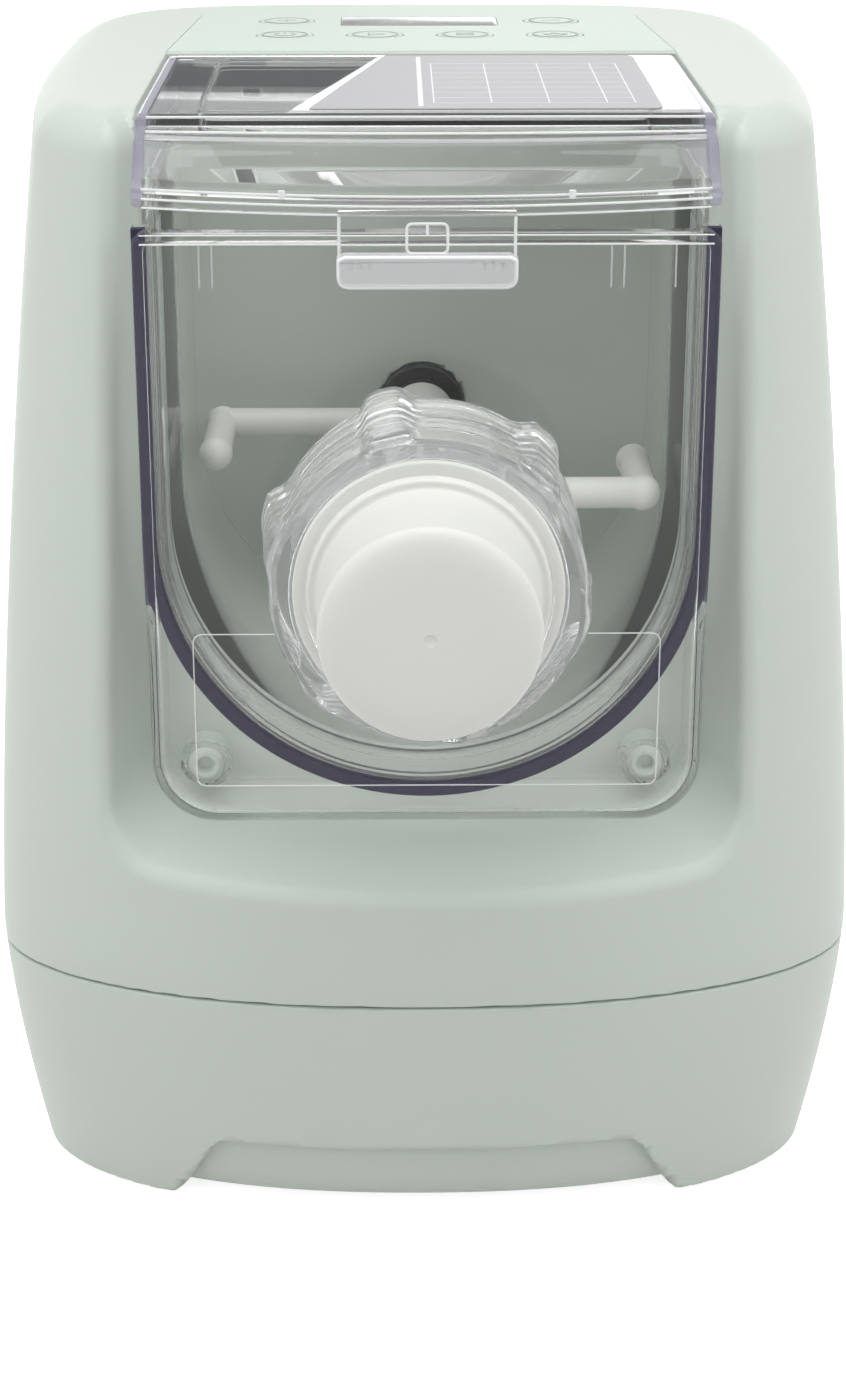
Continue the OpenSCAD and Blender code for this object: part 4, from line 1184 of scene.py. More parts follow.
    def vents(self, x: np.ndarray, y: np.ndarray, z: np.ndarray) -> np.ndarray:
        """Field of the slots in the back."""
        around = np.abs((z - self.vent_z) % self.vent_pitch - self.vent_h / 2) - self.vent_h / 2
        slots = np.maximum(np.maximum(around, np.abs(x) - self.vent_x), S.body_d - self.vent_d - y)
        span = (self.vent_n - 1) * self.vent_pitch + self.vent_h
        return np.maximum(slots, np.maximum(self.vent_z - 1 - z, z - self.vent_z - span - 1))

    def housing_field(self, x: np.ndarray, y: np.ndarray, z: np.ndarray) -> np.ndarray:
        """Field of the upper housing."""
        low, high = self.edge_z
        edge = self.edge_low + (self.edge_high - self.edge_low) * np.clip((z - low) / (high - low), 0, 1)
        outline = self.side(x, y, z)
        body = soft_and(outline, -self.recess(x, y, z), edge)
        body = soft_and(body, z - S.body_h, S.top_r)
        inside = body + self.skin_t
        seat = np.maximum(np.maximum(np.abs(x) - S.recess_x, y - S.bulk_y1), S.seat_z - z)
        body = soft_and(body, -seat, 0.5)
        trough = np.maximum(self.bay(x, z), np.maximum(y - S.bay_y1, S.floor_y - 1 - y))
        body = np.maximum(body, -trough)
        body = soft_and(body, -np.maximum(self.insert(x, y), S.insert_z - z), 0.35)
        body = np.maximum(body, -np.maximum(inside, -self.inner_walls(x, y, z)))
        body = np.maximum(body, -np.maximum(self.key_holes(x, y), S.insert_z - 8 - z))
        body = soft_and(body, -self.vents(x, y, z), 0.4)
        through = np.maximum(y - S.bulk_y1 - 1, S.bay_y1 - 1 - y)
        hole = np.maximum(np.hypot(x, z - S.axis_z) - self.shaft_hole_r, through)
        body = np.maximum(body, -hole)
        return soft_and(body, S.seam_z + self.seam_gap - z, self.seam_r)

    def arch(self, x: np.ndarray, z: np.ndarray) -> np.ndarray:
        """Field of the arch between two feet, negative in the opening."""
        run = self.arch_run
        t = np.clip((np.abs(x) - S.arch_w / 2) / run, 0, 1)
        top = S.foot_out + (S.arch_h - S.foot_out) * (1 + np.cos(math.pi * t)) / 2
        slope = (S.arch_h - S.foot_out) / 2 * math.pi / run * np.sin(math.pi * t)
        return np.maximum((z - top) / np.hypot(1, slope), np.abs(x) - S.arch_w / 2 - run)

    def base_field(self, x: np.ndarray, y: np.ndarray, z: np.ndarray) -> np.ndarray:
        """Field of the base shell."""
        outline = self.side(x, y, z)
        body = soft_and(outline, S.foot_out - z, 1.3)
        body = soft_and(body, z - S.seam_z, self.seam_r)
        feet = np.minimum(*[np.hypot(np.abs(x) - self.foot_x, y - at) for at in self.foot_y])
        posts = self.posts(x, y, S.seam_z - 0.2, S.seam_z - 12, z)
        keep = np.minimum(np.maximum(feet - self.foot_boss[0], z - self.foot_boss[1]), posts)
        hollow = np.maximum(outline + self.skin_t, -keep)
        body = np.maximum(body, -hollow)
        # A tongue inside the seam keeps light from showing through it
        band = np.maximum(z - S.seam_z - self.tongue_up, S.seam_z - self.tongue_down - z)
        tongue = np.maximum(np.maximum(outline + self.tongue_in, -outline - self.skin_t), band)
        body = np.minimum(body, tongue)
        cut = np.maximum(self.arch(x, z), np.minimum(y - self.arch_d, S.body_d - self.arch_d - y))
        body = soft_and(body, -cut, 1.2)
        seat_r, seat_h = self.foot_seat
        body = np.maximum(body, -np.maximum(feet - seat_r, z - S.foot_out - seat_h))
        inlet = np.maximum(np.abs(x) - self.inlet_x, np.abs(z - self.inlet_z) - self.inlet_h)
        return np.maximum(body, -np.maximum(inlet, S.body_d - self.inlet_d - y))

    def ring(self, z: float, by: float, n: int = 22) -> list[Point3]:
        """Outline at a height, moved inwards, as points from the front's middle round.

        Args:
            z: height of the ring.
            by: distance that it is moved inwards.
            n: steps round each corner.

        Returns:
            Points in order.
        """
        at = np.array(z)
        wide = float(self.side_x(at)) - by
        y0, front = float(self.front_y(at)) + S.corner_d, S.corner_d - by
        rear = float(self.rear_y(at)) - by - S.rear_y0
        bend, rear_bend = 2 / self.front_power, 2 / self.rear_power
        half = []
        for i in range(n + 1):
            f = math.pi / 2 * i / n
            y = y0 - front * math.cos(f) ** bend
            half.append((wide * float(self.spread(at, np.array(y))) * math.sin(f) ** bend, y))
        for i in range(1, n // 2 + 1):
            y = y0 + (S.rear_y0 - y0) * i / (n // 2)
            half.append((wide * float(self.spread(at, np.array(y))), y))
        for i in range(1, n + 1):
            f = math.pi / 2 * (1 - i / n)
            y = S.rear_y0 + rear * max(math.cos(f), 0.0) ** rear_bend
            half.append((wide * math.sin(f) ** rear_bend, y))
        other = [(-x, y) for x, y in reversed(half[1:-1])]
        return [(x, y, z) for x, y in half + other]

    def build(self) -> None:
        """Build and dress the housing, the base and the pan."""
        # Closer lines at the seam, the vents, the lid's seat and the control panel's seat
        z_fine = [(63.6, 66.0, 0.4), (91.2, 152.2, 1.0), (267.8, 270.2, 0.6), (280.6, 284.3, 0.37)]
        housing = skin(
            "housing_moulding",
            self.housing_field,
            lines(self.step / 2, self.half_x, self.step, [(62.2, 71.0, 0.8)]),
            lines(*self.span_y, self.step, [(28.6, 31.4, 0.7), (129.8, 134.8, 0.6), (226.0, 227.2, 0.6)]),
            lines(62.4, 285.5, self.step, z_fine),
        )
        dress(housing, P.sage, Body.MACHINE, Slot.SAGE, "upper_housing")
        # Closer lines at the feet, both edges of the inlet and the seam
        base_fine = [(0.6, 4.2, 0.7), (29.2, 30.8, 0.5), (49.2, 50.8, 0.5), (61.9, 64.8, 0.35)]
        base = skin(
            "base_moulding",
            self.base_field,
            lines(self.step / 2, self.half_x, self.step, [(12.9, 14.1, 0.6)]),
            lines(*self.span_y, self.step, [(30.5, 33, 0.8)]),
            lines(0.4, 70, self.step, base_fine),
        )
        dress(base, P.sage, Body.MACHINE, Slot.SAGE, "base_shell")
        self.pan()

    def pan(self) -> None:
        """Build and dress the pan that closes the base from below."""
        gap, low, high = S.wall + 0.4, 2.5, 20.5
        # Distance in from the outline, and height: first the outside, then the inside
        section = [
            (0, high),
            (0, low + 8),
            (0.4, low + 4),
            (1.6, low + 1.6),
            (4, low + 0.4),
            (8, low),
            (40, low),
            (80, low),
            (80, low + 2.5),
            (40, low + 2.5),
            (8, low + 2.6),
            (4.6, low + 4.2),
            (3, low + 8),
            (3, high),
        ]
        rings = []
        for d, z in section:
            flat = d > 8
            ring = self.ring(z, gap + min(d, 8))
            rings.append(shrink(ring, 1 - (d - 8) / 90) if flat else ring)
        pan = loft("pan_moulding", rings, around=True)
        x, r = self.pan_slot_x, self.pan_hole_r
        cutters = [block("slot", (-x, y, 0), (x, y + self.vent_h, 8)) for y in self.pan_slots]
        bore = [(0.01, -1), (r, -1), (r, 40), (0.01, 40)]
        cutters += [
            turn("bore", bore, (s * self.foot_x, y), upright=True, steps=40)
            for s in (-1, 1)
            for y in self.foot_y
        ]
        dress(carve(pan, cutters), P.sage, Body.MACHINE, Slot.SAGE, "bottom_pan")


def shrink(ring: Sequence[Point3], share: float) -> list[Point3]:
    """Draw a ring in towards its middle, for flat bottoms."""
    mid = sum(p[1] for p in ring) / len(ring)
    return [(x * share, mid + (y - mid) * share, z) for x, y, z in ring]


# ---- Control panel ----------------------------------------------------------------


class Mark(Enum):
    """Signs printed on the keys."""

    POWER = "key_power"
    START = "key_start"
    PROGRAM = "key_program"
    DOUGH = "key_dough"
    PLUS = "key_plus"
    MINUS = "key_minus"


@dataclass
class ControlPanel:
    """Mint insert with six keys and a display."""

    key_d: float = 16.0
    key_gap: float = 0.25
    rim: float = 1.2  # how far a key's rim reaches under the panel
    rim_low: float = 2.2  # from the panel's underside down to the rim's
    rim_t: float = 1.9
    stem_r: float = 2.6
    display_w: float = 46.0
    display_d: float = 21.0
    edge: float = 0.35  # rounding of the insert's edges
    line: float = 0.55  # width of a printed line
    print_z: tuple[float, float] = (0.22, 0.285)  # underside and top of the print over the panel

    def spots(self) -> dict[Mark, Point2]:
        """Places of the keys in x and y."""
        return {
            Mark.POWER: (-S.key_far, S.key_row_1),
            Mark.START: (-S.key_near, S.key_row_1),
            Mark.PROGRAM: (S.key_near, S.key_row_1),
            Mark.DOUGH: (S.key_far, S.key_row_1),
            Mark.PLUS: (-S.key_side, S.key_row_2),
            Mark.MINUS: (S.key_side, S.key_row_2),
        }

    def window(self) -> list[Point2]:
        """Corners of the display's window round its middle."""
        x, y = self.display_w / 2, self.display_d / 2
        return [(-x, -y), (x, -y), (x, y), (-x, y)]

    def outline(self, gap: float) -> list[Point2]:
        """Outline of the insert, a gap inside its recess."""
        w0, w1 = S.insert_w0 / 2 - gap, S.insert_w1 / 2 - gap
        y0, y1 = S.insert_y0 + gap, S.insert_y0 + S.insert_l - gap
        return fillet([(-w0, y0), (w0, y0), (w1, y1), (-w1, y1)], [0.6, 0.6, 17, 17], n=12)

    def strokes(self, mark: Mark) -> list[list[Point2]]:
        """Lines of a key's sign, round its middle."""

        def arc(r: float, a0: float, a1: float, n: int = 24, at: Point2 = (0.0, 0.0)) -> list[Point2]:
            """Arc between two angles in degrees."""
            steps = [math.radians(a0 + (a1 - a0) * i / n) for i in range(n + 1)]
            return [(at[0] + r * math.cos(a), at[1] + r * math.sin(a)) for a in steps]

        signs = {
            Mark.POWER: [arc(2.8, 125, 415), [(0, 0.8), (0, 3.6)]],
            Mark.START: [[(-1.8, -2.6), (2.8, 0), (-1.8, 2.6), (-1.8, -2.6)]],
            Mark.PROGRAM: [[(-2.6, y), (2.6, y)] for y in (-2.0, 0.0, 2.0)],
            Mark.DOUGH: [arc(3.0, 180, 360), [(-3.6, 0), (3.6, 0)], arc(1.2, 20, 160, 10, (0, 0.6))],
            Mark.PLUS: [[(-2.8, 0), (2.8, 0)], [(0, -2.8), (0, 2.8)]],
            Mark.MINUS: [[(-2.8, 0), (2.8, 0)]],
        }
        return signs[mark] + [arc(6.4, 0, 360, 48)]

    def print_sign(self, mark: Mark, at: Point2) -> bpy.types.Object:
        """Print a sign as thin raised lines on its key."""
        z0, z1 = (S.insert_top + up for up in self.print_z)
        pieces = []
        for stroke in self.strokes(mark):
            left, right = [], []
            for i, point in enumerate(stroke):
                a = Vector(stroke[max(i - 1, 0)])
                b = Vector(stroke[min(i + 1, len(stroke) - 1)])
                if stroke[0] == stroke[-1] and i in (0, len(stroke) - 1):
                    a, b = Vector(stroke[-2]), Vector(stroke[1])
                way = (b - a).normalized() * self.line / 2
                left.append((at[0] + point[0] - way.y, at[1] + point[1] + way.x))
                right.append((at[0] + point[0] + way.y, at[1] + point[1] - way.x))
            rings = [[(*l, z1), (*r, z1), (*r, z0), (*l, z0)] for l, r in zip(left, right)]
            pieces.append(loft("stroke", rings))
        return join(pieces, "print_" + mark.value[4:])

    def holes(self) -> list[list[Point2]]:
        """Outlines of the holes for the display and the keys."""
        made = [[(x, y + S.key_row_2) for x, y in fillet(self.window(), 2.0)]]
        r = self.key_d / 2 + self.key_gap
        angles = np.linspace(0, 2 * math.pi, 64, endpoint=False)
        for x, y in self.spots().values():
            made.append([(x + r * math.cos(a), y + r * math.sin(a)) for a in angles])
        return made

    def plate(self) -> bpy.types.Object:
        """Build the insert with its holes and rounded edges."""
        top, low = S.insert_top, S.insert_z
        curve = bpy.data.curves.new("panel_outline", "CURVE")
        curve.dimensions = "2D"
        curve.fill_mode = "BOTH"
        for loop in [self.outline(0.1), *self.holes()]:
            spline = curve.splines.new("POLY")
            spline.points.add(len(loop) - 1)
            for held, (x, y) in zip(spline.points, loop):
                held.co = (x * MM, (y - MIDDLE_Y) * MM, 0, 1)
            spline.use_cyclic_u = True
        curve.extrude = ((top - low) / 2 - self.edge) * MM
        curve.bevel_depth = self.edge * MM
        curve.offset = -self.edge * MM
        curve.bevel_resolution = 2
        shell = placed("panel_curve", curve)
        mesh = baked(shell)
        mesh.transform(Matrix.Translation((0, 0, (top + low) / 2 * MM)))
        bpy.data.objects.remove(shell)
        smooth(mesh, 50)
        return placed("control_insert", mesh)

    def cap(self, mark: Mark, at: Point2) -> bpy.types.Object:
        """Build a key: a domed cap, a rim under the panel and a stem over the switch."""
        r, top = self.key_d / 2, S.insert_top
        under = S.insert_z - self.rim_low
        stem_z = S.insert_z - 6.25  # clear of the switch when the key is down
        profile = fillet(
            [
                (CORE, stem_z),
                (self.stem_r, stem_z),
                (self.stem_r, under),
                (r + self.rim, under),
                (r + self.rim, under + self.rim_t),
                (r, under + self.rim_t),
                (r, top + 0.05),
                (CORE, top + 0.25),
            ],
            [0, 0.2, 0.3, 0.2, 0.3, 0.1, 0.6, 0],
        )
        return turn("cap_" + mark.value[4:], profile, at, upright=True, steps=72)

    def build(self) -> None:
        """Build and dress the insert, the keys with their signs and the display."""
        dress(self.plate(), P.mint, Body.MACHINE, Slot.MINT, "control_panel")
        for mark, at in self.spots().items():
            dress(self.cap(mark, at), P.mint, mark.value, Slot.MINT, mark.value)
            dress(self.print_sign(mark, at), P.ink, mark.value, Slot.SMOKE)
        outline = fillet([(x * 0.995, y * 0.99 + S.key_row_2) for x, y in self.window()], 1.9)
        pane = slab("display_pane", outline, S.insert_top - 1.4, S.insert_top - 0.05, 0.15, flat=True)
        dress(pane, P.smoke, Body.MACHINE, Slot.SMOKE, "display_window")


# ---- Mixing bay -------------------------------------------------------------------


@dataclass
class MixingBay:
    """Clear chamber, navy gasket and clear front panel with its barrel."""

    edge_r: float = 6.0  # roll of the border at the lower corners
    crisp_r: float = 1.1  # rounding of the border beside the mouth
    roll_top: float = 152.0  # height from which the roll fades
    roll_fade: float = 34.0
    barrel_r: float = 22.0
    sleeve_r: float = 31.6
    barrel_l: float = 33.0
    post_x: float = 56.3
    post_z: float = 120.0
    post_r: float = 4.4
    boss_t: float = 1.8
    shaft_hole_r: float = 9.0
    step_in: float = 11.5  # from the panel's edge in to the fine step
    step_h: float = 40.0
    # Pale bands near the panel's top: painted highlights
    bands: tuple[Point2, ...] = ((0.3, 0.18), (2.4, 0.24))  # depth below the top, and radius
    band_x: float = 66.5
    rib_x: tuple[float, ...] = (-53.0, -50.0, 43.0, 46.0, 58.0)

    def tray(self, shrink_by: float, top_r: float = 3.0) -> list[Point2]:
        """Outline of the front panel in x and z, closely spaced for smooth plates."""
        x, z0, z1 = S.panel_w / 2 - shrink_by, S.panel_z0 + shrink_by, S.panel_z1 - shrink_by
        low = max(S.panel_r - shrink_by * 0.7, 1.0)
        top = max(top_r - shrink_by * 0.5, 0.8)
        out: list[Point2] = []
        bends = [
            ((-x + low, z0 + low), low, 180),
            ((x - low, z0 + low), low, 270),
            ((x - top, z1 - top), top, 0),
            ((-x + top, z1 - top), top, 90),
        ]
        counts = [34, 38, 34, 38]  # steps along the straight stretch before each bend

        def spot(centre: Point2, r: float, degrees: float) -> Point2:
            """Point of a bend at an angle."""
            a = math.radians(degrees)
            return (centre[0] + r * math.cos(a), centre[1] + r * math.sin(a))

        for k, (centre, r, a0) in enumerate(bends):
            out += [spot(centre, r, a0 + 90 * i / 10) for i in range(11)]
            start, end, n = out[-1], spot(*bends[(k + 1) % 4]), counts[(k + 1) % 4]
            for i in range(1, n):
                out.append((start[0] + (end[0] - start[0]) * i / n, start[1] + (end[1] - start[1]) * i / n))
        return out

    def u_line(self, r: float, top: float, n: int = 72) -> list[Point2]:
        """A half circle round the axis with straight sides up to a height."""
        arc = [(r * math.cos(a), S.axis_z + r * math.sin(a)) for a in np.linspace(math.pi, 2 * math.pi, n)]
        return [(-r, top), *arc, (r, top)]

    def u_wall(
        self, name: str, inner: float, outer: float, top: float, y0: float, y1: float, edge: float = 0.4
    ) -> bpy.types.Object:
        """A U-shaped wall between two radii, with rounded edges.

        Args:
            name: name of the piece.
            inner: inner radius.
            outer: outer radius.
            top: height that it reaches.
            y0: its front.
            y1: its back.
            edge: rounding of its edges.

        Returns:
            The new object.
        """
        section = fillet([(inner, y0), (outer, y0), (outer, y1), (inner, y1)], edge, n=4)
        rings = [[(-r, y, top) for r, y in section]]
        for a in np.linspace(math.pi, 2 * math.pi, 72):
            rings.append([(r * math.cos(a), y, S.axis_z + r * math.sin(a)) for r, y in section])
        rings.append([(r, y, top) for r, y in section])
        return loft(name, rings)

    def build(self) -> None:
        """Build and dress the chamber, the gasket and the front panel."""
        inner, outer, mouth = S.chamber_r, S.chamber_r + S.chamber_t, S.mouth_y
        ledge_y = S.floor_y - 4
        wall = self.u_wall("wall", inner, outer, S.chamber_top, ledge_y, S.chamber_y1 - 1)
        front = self.u_wall("front", inner, outer, S.panel_z1, mouth, ledge_y + 1)
        lip = self.u_wall("lip", outer - 1.2, S.flange_r, S.panel_z1, mouth + 0.05, mouth + 3, 0.7)
        stop = self.u_wall("stop", outer - 1.2, S.flange_r, S.chamber_top, S.floor_y - 3, S.floor_y, 0.6)
        back = slab("back", self.u_line(inner + 0.5, S.chamber_top), S.chamber_y1 - 3, S.chamber_y1, 0.4)
        r, start, end = self.shaft_hole_r, S.chamber_y1 - 6, S.bay_y1
        bore = [(CORE, start), (r, start), (r, end), (CORE, end)]
        hole = turn("hole", bore, (0, S.axis_z), steps=48)
        chamber = join([wall, front, lip, stop, carve(back, [hole])], "chamber_moulding")
        dress(chamber, P.haze, Body.MACHINE, Slot.CLEAR, "mixing_chamber")
        gasket = self.u_wall(
            "gasket_seal", S.gasket_r, S.flange_r, S.panel_z1, S.gasket_y + 0.05, mouth - 0.02, 0.5
        )
        dress(gasket, P.navy, Body.MACHINE, Slot.NAVY, "chamber_gasket")
        self.front_panel()

    def front_panel(self) -> None:
        """Build and dress the clear front panel: its plate, barrel and bosses."""
        pieces = [self.plate(), self.barrel(), *self.bosses()]
        dress(join(pieces, "front_panel_moulding"), P.clear, Body.MACHINE, Slot.CLEAR, "front_panel")
        self.panel_lines()

    def plate(self) -> bpy.types.Object:
        """Build the plate, whose border rolls back into side walls."""
        t, d = S.clear_t, S.panel_d
        rim, deep = np.asarray(self.tray(0)), np.asarray(self.tray(self.edge_r))
        # The border rolls round the lower corners and turns crisply beside the mouth
        high = np.clip((rim[:, 1] - self.roll_top) / self.roll_fade, 0, 1)
        radius = self.edge_r + (self.crisp_r - self.edge_r) * high * high * (3 - 2 * high)
        inner = np.maximum(radius - t, 0.3)

        def ring(by: float | np.ndarray, y: float | np.ndarray) -> list[Point3]:
            """Border moved inwards by a distance, at a depth."""
            flat = rim + (deep - rim) * np.broadcast_to(by, len(rim))[:, None] / self.edge_r
            return [(x, float(at), z) for (x, z), at in zip(flat, np.broadcast_to(y, len(rim)))]

        def hole(y: float, bore_r: float) -> list[Point3]:
            """Edge of the hole under the barrel, at a depth."""
            spots = [math.atan2(z - S.axis_z, x) for x, z in rim]
            return [(bore_r * math.cos(a), y, S.axis_z + bore_r * math.sin(a)) for a in spots]

        bore = self.barrel_r + 1.0
        level = self.tray(self.edge_r + 6)
        plate = [hole(0.0, bore), [(x, 0.0, z) for x, z in level]]
        for f in np.linspace(0, math.pi / 2, 9):
            plate.append(ring(radius * (1 - math.sin(f)), radius * (1 - math.cos(f))))
        plate += [ring(0, d - 0.5), ring(0.5, d), ring(t - 0.5, d), ring(t, d - 0.5)]
        for f in np.linspace(math.pi / 2, 0, 7):
            plate.append(ring(t + inner * (1 - math.sin(f)), t + inner * (1 - math.cos(f))))
        plate += [[(x, t, z) for x, z in level], hole(t, bore)]
        # The chamber's mouth takes the place of the side walls beside and above it
        mouth = slab("mouth", self.u_line(S.flange_r + 0.3, 300), S.gasket_y, d + 5, 0.01, segments=1)
        return carve(loft("plate", plate, around=True), [mouth])

    def barrel(self) -> bpy.types.Object:
        """Build the barrel round the auger and the sleeve round the barrel."""
        front, sleeve, barrel = -self.barrel_l, self.sleeve_r, self.barrel_r
        section = fillet(
            [
                (barrel, 6),
                (barrel, front),
                (sleeve, front),
                (sleeve, 0.6),
                (sleeve - 2.6, 0.6),
                (sleeve - 2.6, front + 4),
                (barrel + 3, front + 4),
                (barrel + 3, 6),
            ],
            [0.4, 0.8, 0.8, 0.3, 0.3, 1.0, 1.0, 0.4],
        )
        return turn("barrel", section, (0, S.axis_z), steps=120)

    def bosses(self) -> list[bpy.types.Object]:
        """Build the bosses that take the locating posts."""
        inner, back = self.post_r + 0.35, S.panel_d
        outer = inner + self.boss_t
        section = fillet([(inner, back - 9), (outer, back - 9), (outer, back - 1), (inner, back - 1)], 0.4)
        return [turn("boss", section, (s * self.post_x, self.post_z), steps=48) for s in (-1, 1)]

    def panel_lines(self) -> None:
        """Build and dress pale lines along the front panel's fine step, top and ribs: painted highlights."""
        x, z0, top = S.panel_w / 2 - self.step_in, S.panel_z0 + self.step_in, S.panel_z1
        z1 = z0 + self.step_h
        step = fillet([(-x, z0), (x, z0), (x, z1), (-x, z1)], 2.5, n=6)
        made = [sweep("step", [(at, -0.02, z) for at, z in step], 0.15, closed=True, sides=8)]
        for low, r in self.bands:
            ends = [(x, 0.1, top - low) for x in (-self.band_x, self.band_x)]
            made.append(sweep("band", ends, r, sides=8))
        y = S.clear_t + 0.1
        for x in self.rib_x:
            made.append(sweep("highlight_bead", [(x, y, top - 13), (x, y, top - 3)], 0.2, sides=8))
        # Milky pale beads: painted highlights
        dress(join(made, "front_panel_highlight_lines"), P.edge, Body.MACHINE, Slot.CLEAR)


# ---- Lid --------------------------------------------------------------------------


@dataclass
class Lid:
    """Clear hinged lid with its front roll, handle tab and printed film."""

    half: float = 68.6
    y0: float = 24.0
    hinge_y: float = 127.0
    hinge_z: float = 280.2
    flange_y: float = -4.0
    flange_z: float = 265.5
    flange_h: float = 4.5
    bow: float = 9.0
    lift: float = 0.4
    end_wall: float = 2.6
    tab_w: float = 41.0
    # Corner of the outside that each pale bead follows, and the bead's radius; the beads are painted
    # highlights
    beads: tuple[tuple[int, float], ...] = ((8, 0.32), (10, 0.42), (15, 0.3), (17, 0.3), (19, 0.3))
    tab_h: float = 16.0
    highlight_band_r: float = 1.0  # milky bead inside the roll, a painted highlight band
    gate_x: float = 33.3  # small gate marks on the front edge
    gate_z: tuple[float, float] = (269.2, 271.0)
    rim_x: float = 55.0  # rim under the top
    rim_y: tuple[float, float] = (32.0, 117.0)
    rim_z: tuple[float, float] = (2.3, 6.4)  # its start and end below the lid's top
    film_x: tuple[float, float] = (-28.0, 57.0)
    film_corner: float = -10.0  # the film's left corner at the back
    rows: int = 9  # lines ruled across the film
    row_pitch: float = 8.4
    columns: tuple[float, ...] = (2.0, 16.0, 30.0, 44.0, 50.8)
    rule_w: float = 0.35

    def front(self, x: float) -> tuple[float, float, float]:
        """Bow share of the front edge, and its y and z, at a distance from the middle."""
        q = (x / self.half) ** 2
        return q, self.flange_y + self.bow * q, self.flange_z + self.lift * q

    def outside(self, x: float) -> list[Point2]:
        """Corners of the outside in y and z, from back to front, at a distance from the middle."""
        q, fy, fz = self.front(x)
        top, y0, hy, hz, fh = S.body_h, self.y0, self.hinge_y, self.hinge_z, self.flange_h
        mid = (y0 + fy) / 2
        hinge = [
            (hy - 3.3, hz - 2.6),
            (hy - 1.0, hz - 3.4),
            (hy + 2.4, hz - 2.6),
            (hy + 3.5, hz),
            (hy + 2.4, hz + 2.7),
        ]
        roof = [(hy - 1.5, top - 0.1), (hy - 6, top), (y0 + 2.6, top), (y0 - 0.2, top - 0.5)]
        roll = [
            (y0 - 1.2, top - 2.6),
            (y0 - 3.2, top - 4.0 + q * 0.6),
            (mid + 2.2, top - 5.4 + q),
            (fy + 6.2, fz + fh + 5.4 - 1.8 * q),
        ]
        flange = [
            (fy + 3.2, fz + fh + 1.6),
            (fy + 1.2, fz + fh + 0.6),
            (fy + 0.1, fz + fh - 0.2),
            (fy + 0.7, fz + fh - 1.4),
            (fy - 0.3, fz + 2.1),
            (fy - 0.3, fz + 0.6),
            (fy + 0.3, fz),
        ]
        return hinge + roof + roll + flange

    def section(self, x: float, filled: bool) -> list[Point2]:
        """Outline of the lid's shell across the machine at a distance from the middle.

        Args:
            x: distance from the middle.
            filled: whether the inside is filled, as in the end walls.

        Returns:
            Points in y and z, first along the outside from back to front.
        """
        q, fy, fz = self.front(x)
        top, t, y0, hy, fh = S.body_h, S.clear_t, self.y0, self.hinge_y, self.flange_h
        if filled:
            low = S.seat_z + 0.8
            inner = [
                (fy + t, fz),
                (fy + t + 0.6, fz + 2.0),
                (fy + t + 2.2, max(low, fz + 3.0)),
                (y0 + 0.5, low),
                (hy - 10, low),
                (hy - 4.2, self.hinge_z - 3.2),
            ]
        else:
            inner = [
                (fy + t, fz),
                (fy + t, fz + fh - 1.6),
                (fy + t + 3.0, fz + fh + 1.0),
                ((y0 + fy) / 2 + 3.0, top - 8.2 + q),
                (y0 + 1.2, top - t - 0.4),
                (hy - 5.0, top - t),
            ]
        rounding = [
            *(0.4, 2.4, 2.4, 2.4, 2.4),  # hinge
            *(2, 0.4, 2.4, 1.2),  # roof
            *(1.2, 1.5, 6, 4.5),  # roll
            *(1.2, 0.6, 0.5, 0.4, 0.5, 0.4, 0.3),  # flange
            *(0.3, 0.6, 1.0, 1.0, 1.0, 0.3),  # inside
        ]
        return fillet(self.outside(x) + inner, rounding, n=5)

    def build(self) -> None:
        """Build and dress the lid's shell, ends, tab, rim, beads and film."""
        reach = self.half - self.end_wall
        rings = [[(x, y, z) for y, z in self.section(x, False)] for x in np.linspace(-reach, reach, 63)]
        pieces = [loft("shell", rings, sharp_deg=50)]
        for side, mark in ((-1, "left"), (1, "right")):
            # The end's edge is rounded by drawing its outermost rings in
            spots = [(reach, 0.0), (self.half - 0.9, 0.0), (self.half - 0.3, 0.25), (self.half, 0.8)]
            ends = [[(side * x, y, z) for y, z in inset(self.section(x, True), draw)] for x, draw in spots]
            # The end walls' milky violet grey share: painted shade
            dress(loft("lid_end_" + mark, ends, sharp_deg=50), P.thick, Body.LID, Slot.CLEAR)
        w, (y0, y1) = self.rim_x, self.rim_y
        rim = fillet([(-w, y0), (w, y0), (w, y1), (-w, y1)], 6, n=6)
        high, low = (S.body_h - down for down in self.rim_z)
        steps = ((0, high), (0.2, low), (1.4, low), (1.6, high))
        loops = [[(*p, z) for p in inset(rim, d)] for d, z in steps]
        pieces.append(loft("rim", list(zip(*loops)), around=True))
        pieces += self.tab()
        dress(join(pieces, "lid_moulding"), P.lid, Body.LID, Slot.CLEAR, "lid")
        # Pale beads along the lid's edges: painted highlights
        dress(join(self.beading(rim), "lid_highlight_lines"), P.edge, Body.LID, Slot.CLEAR)
        self.film()

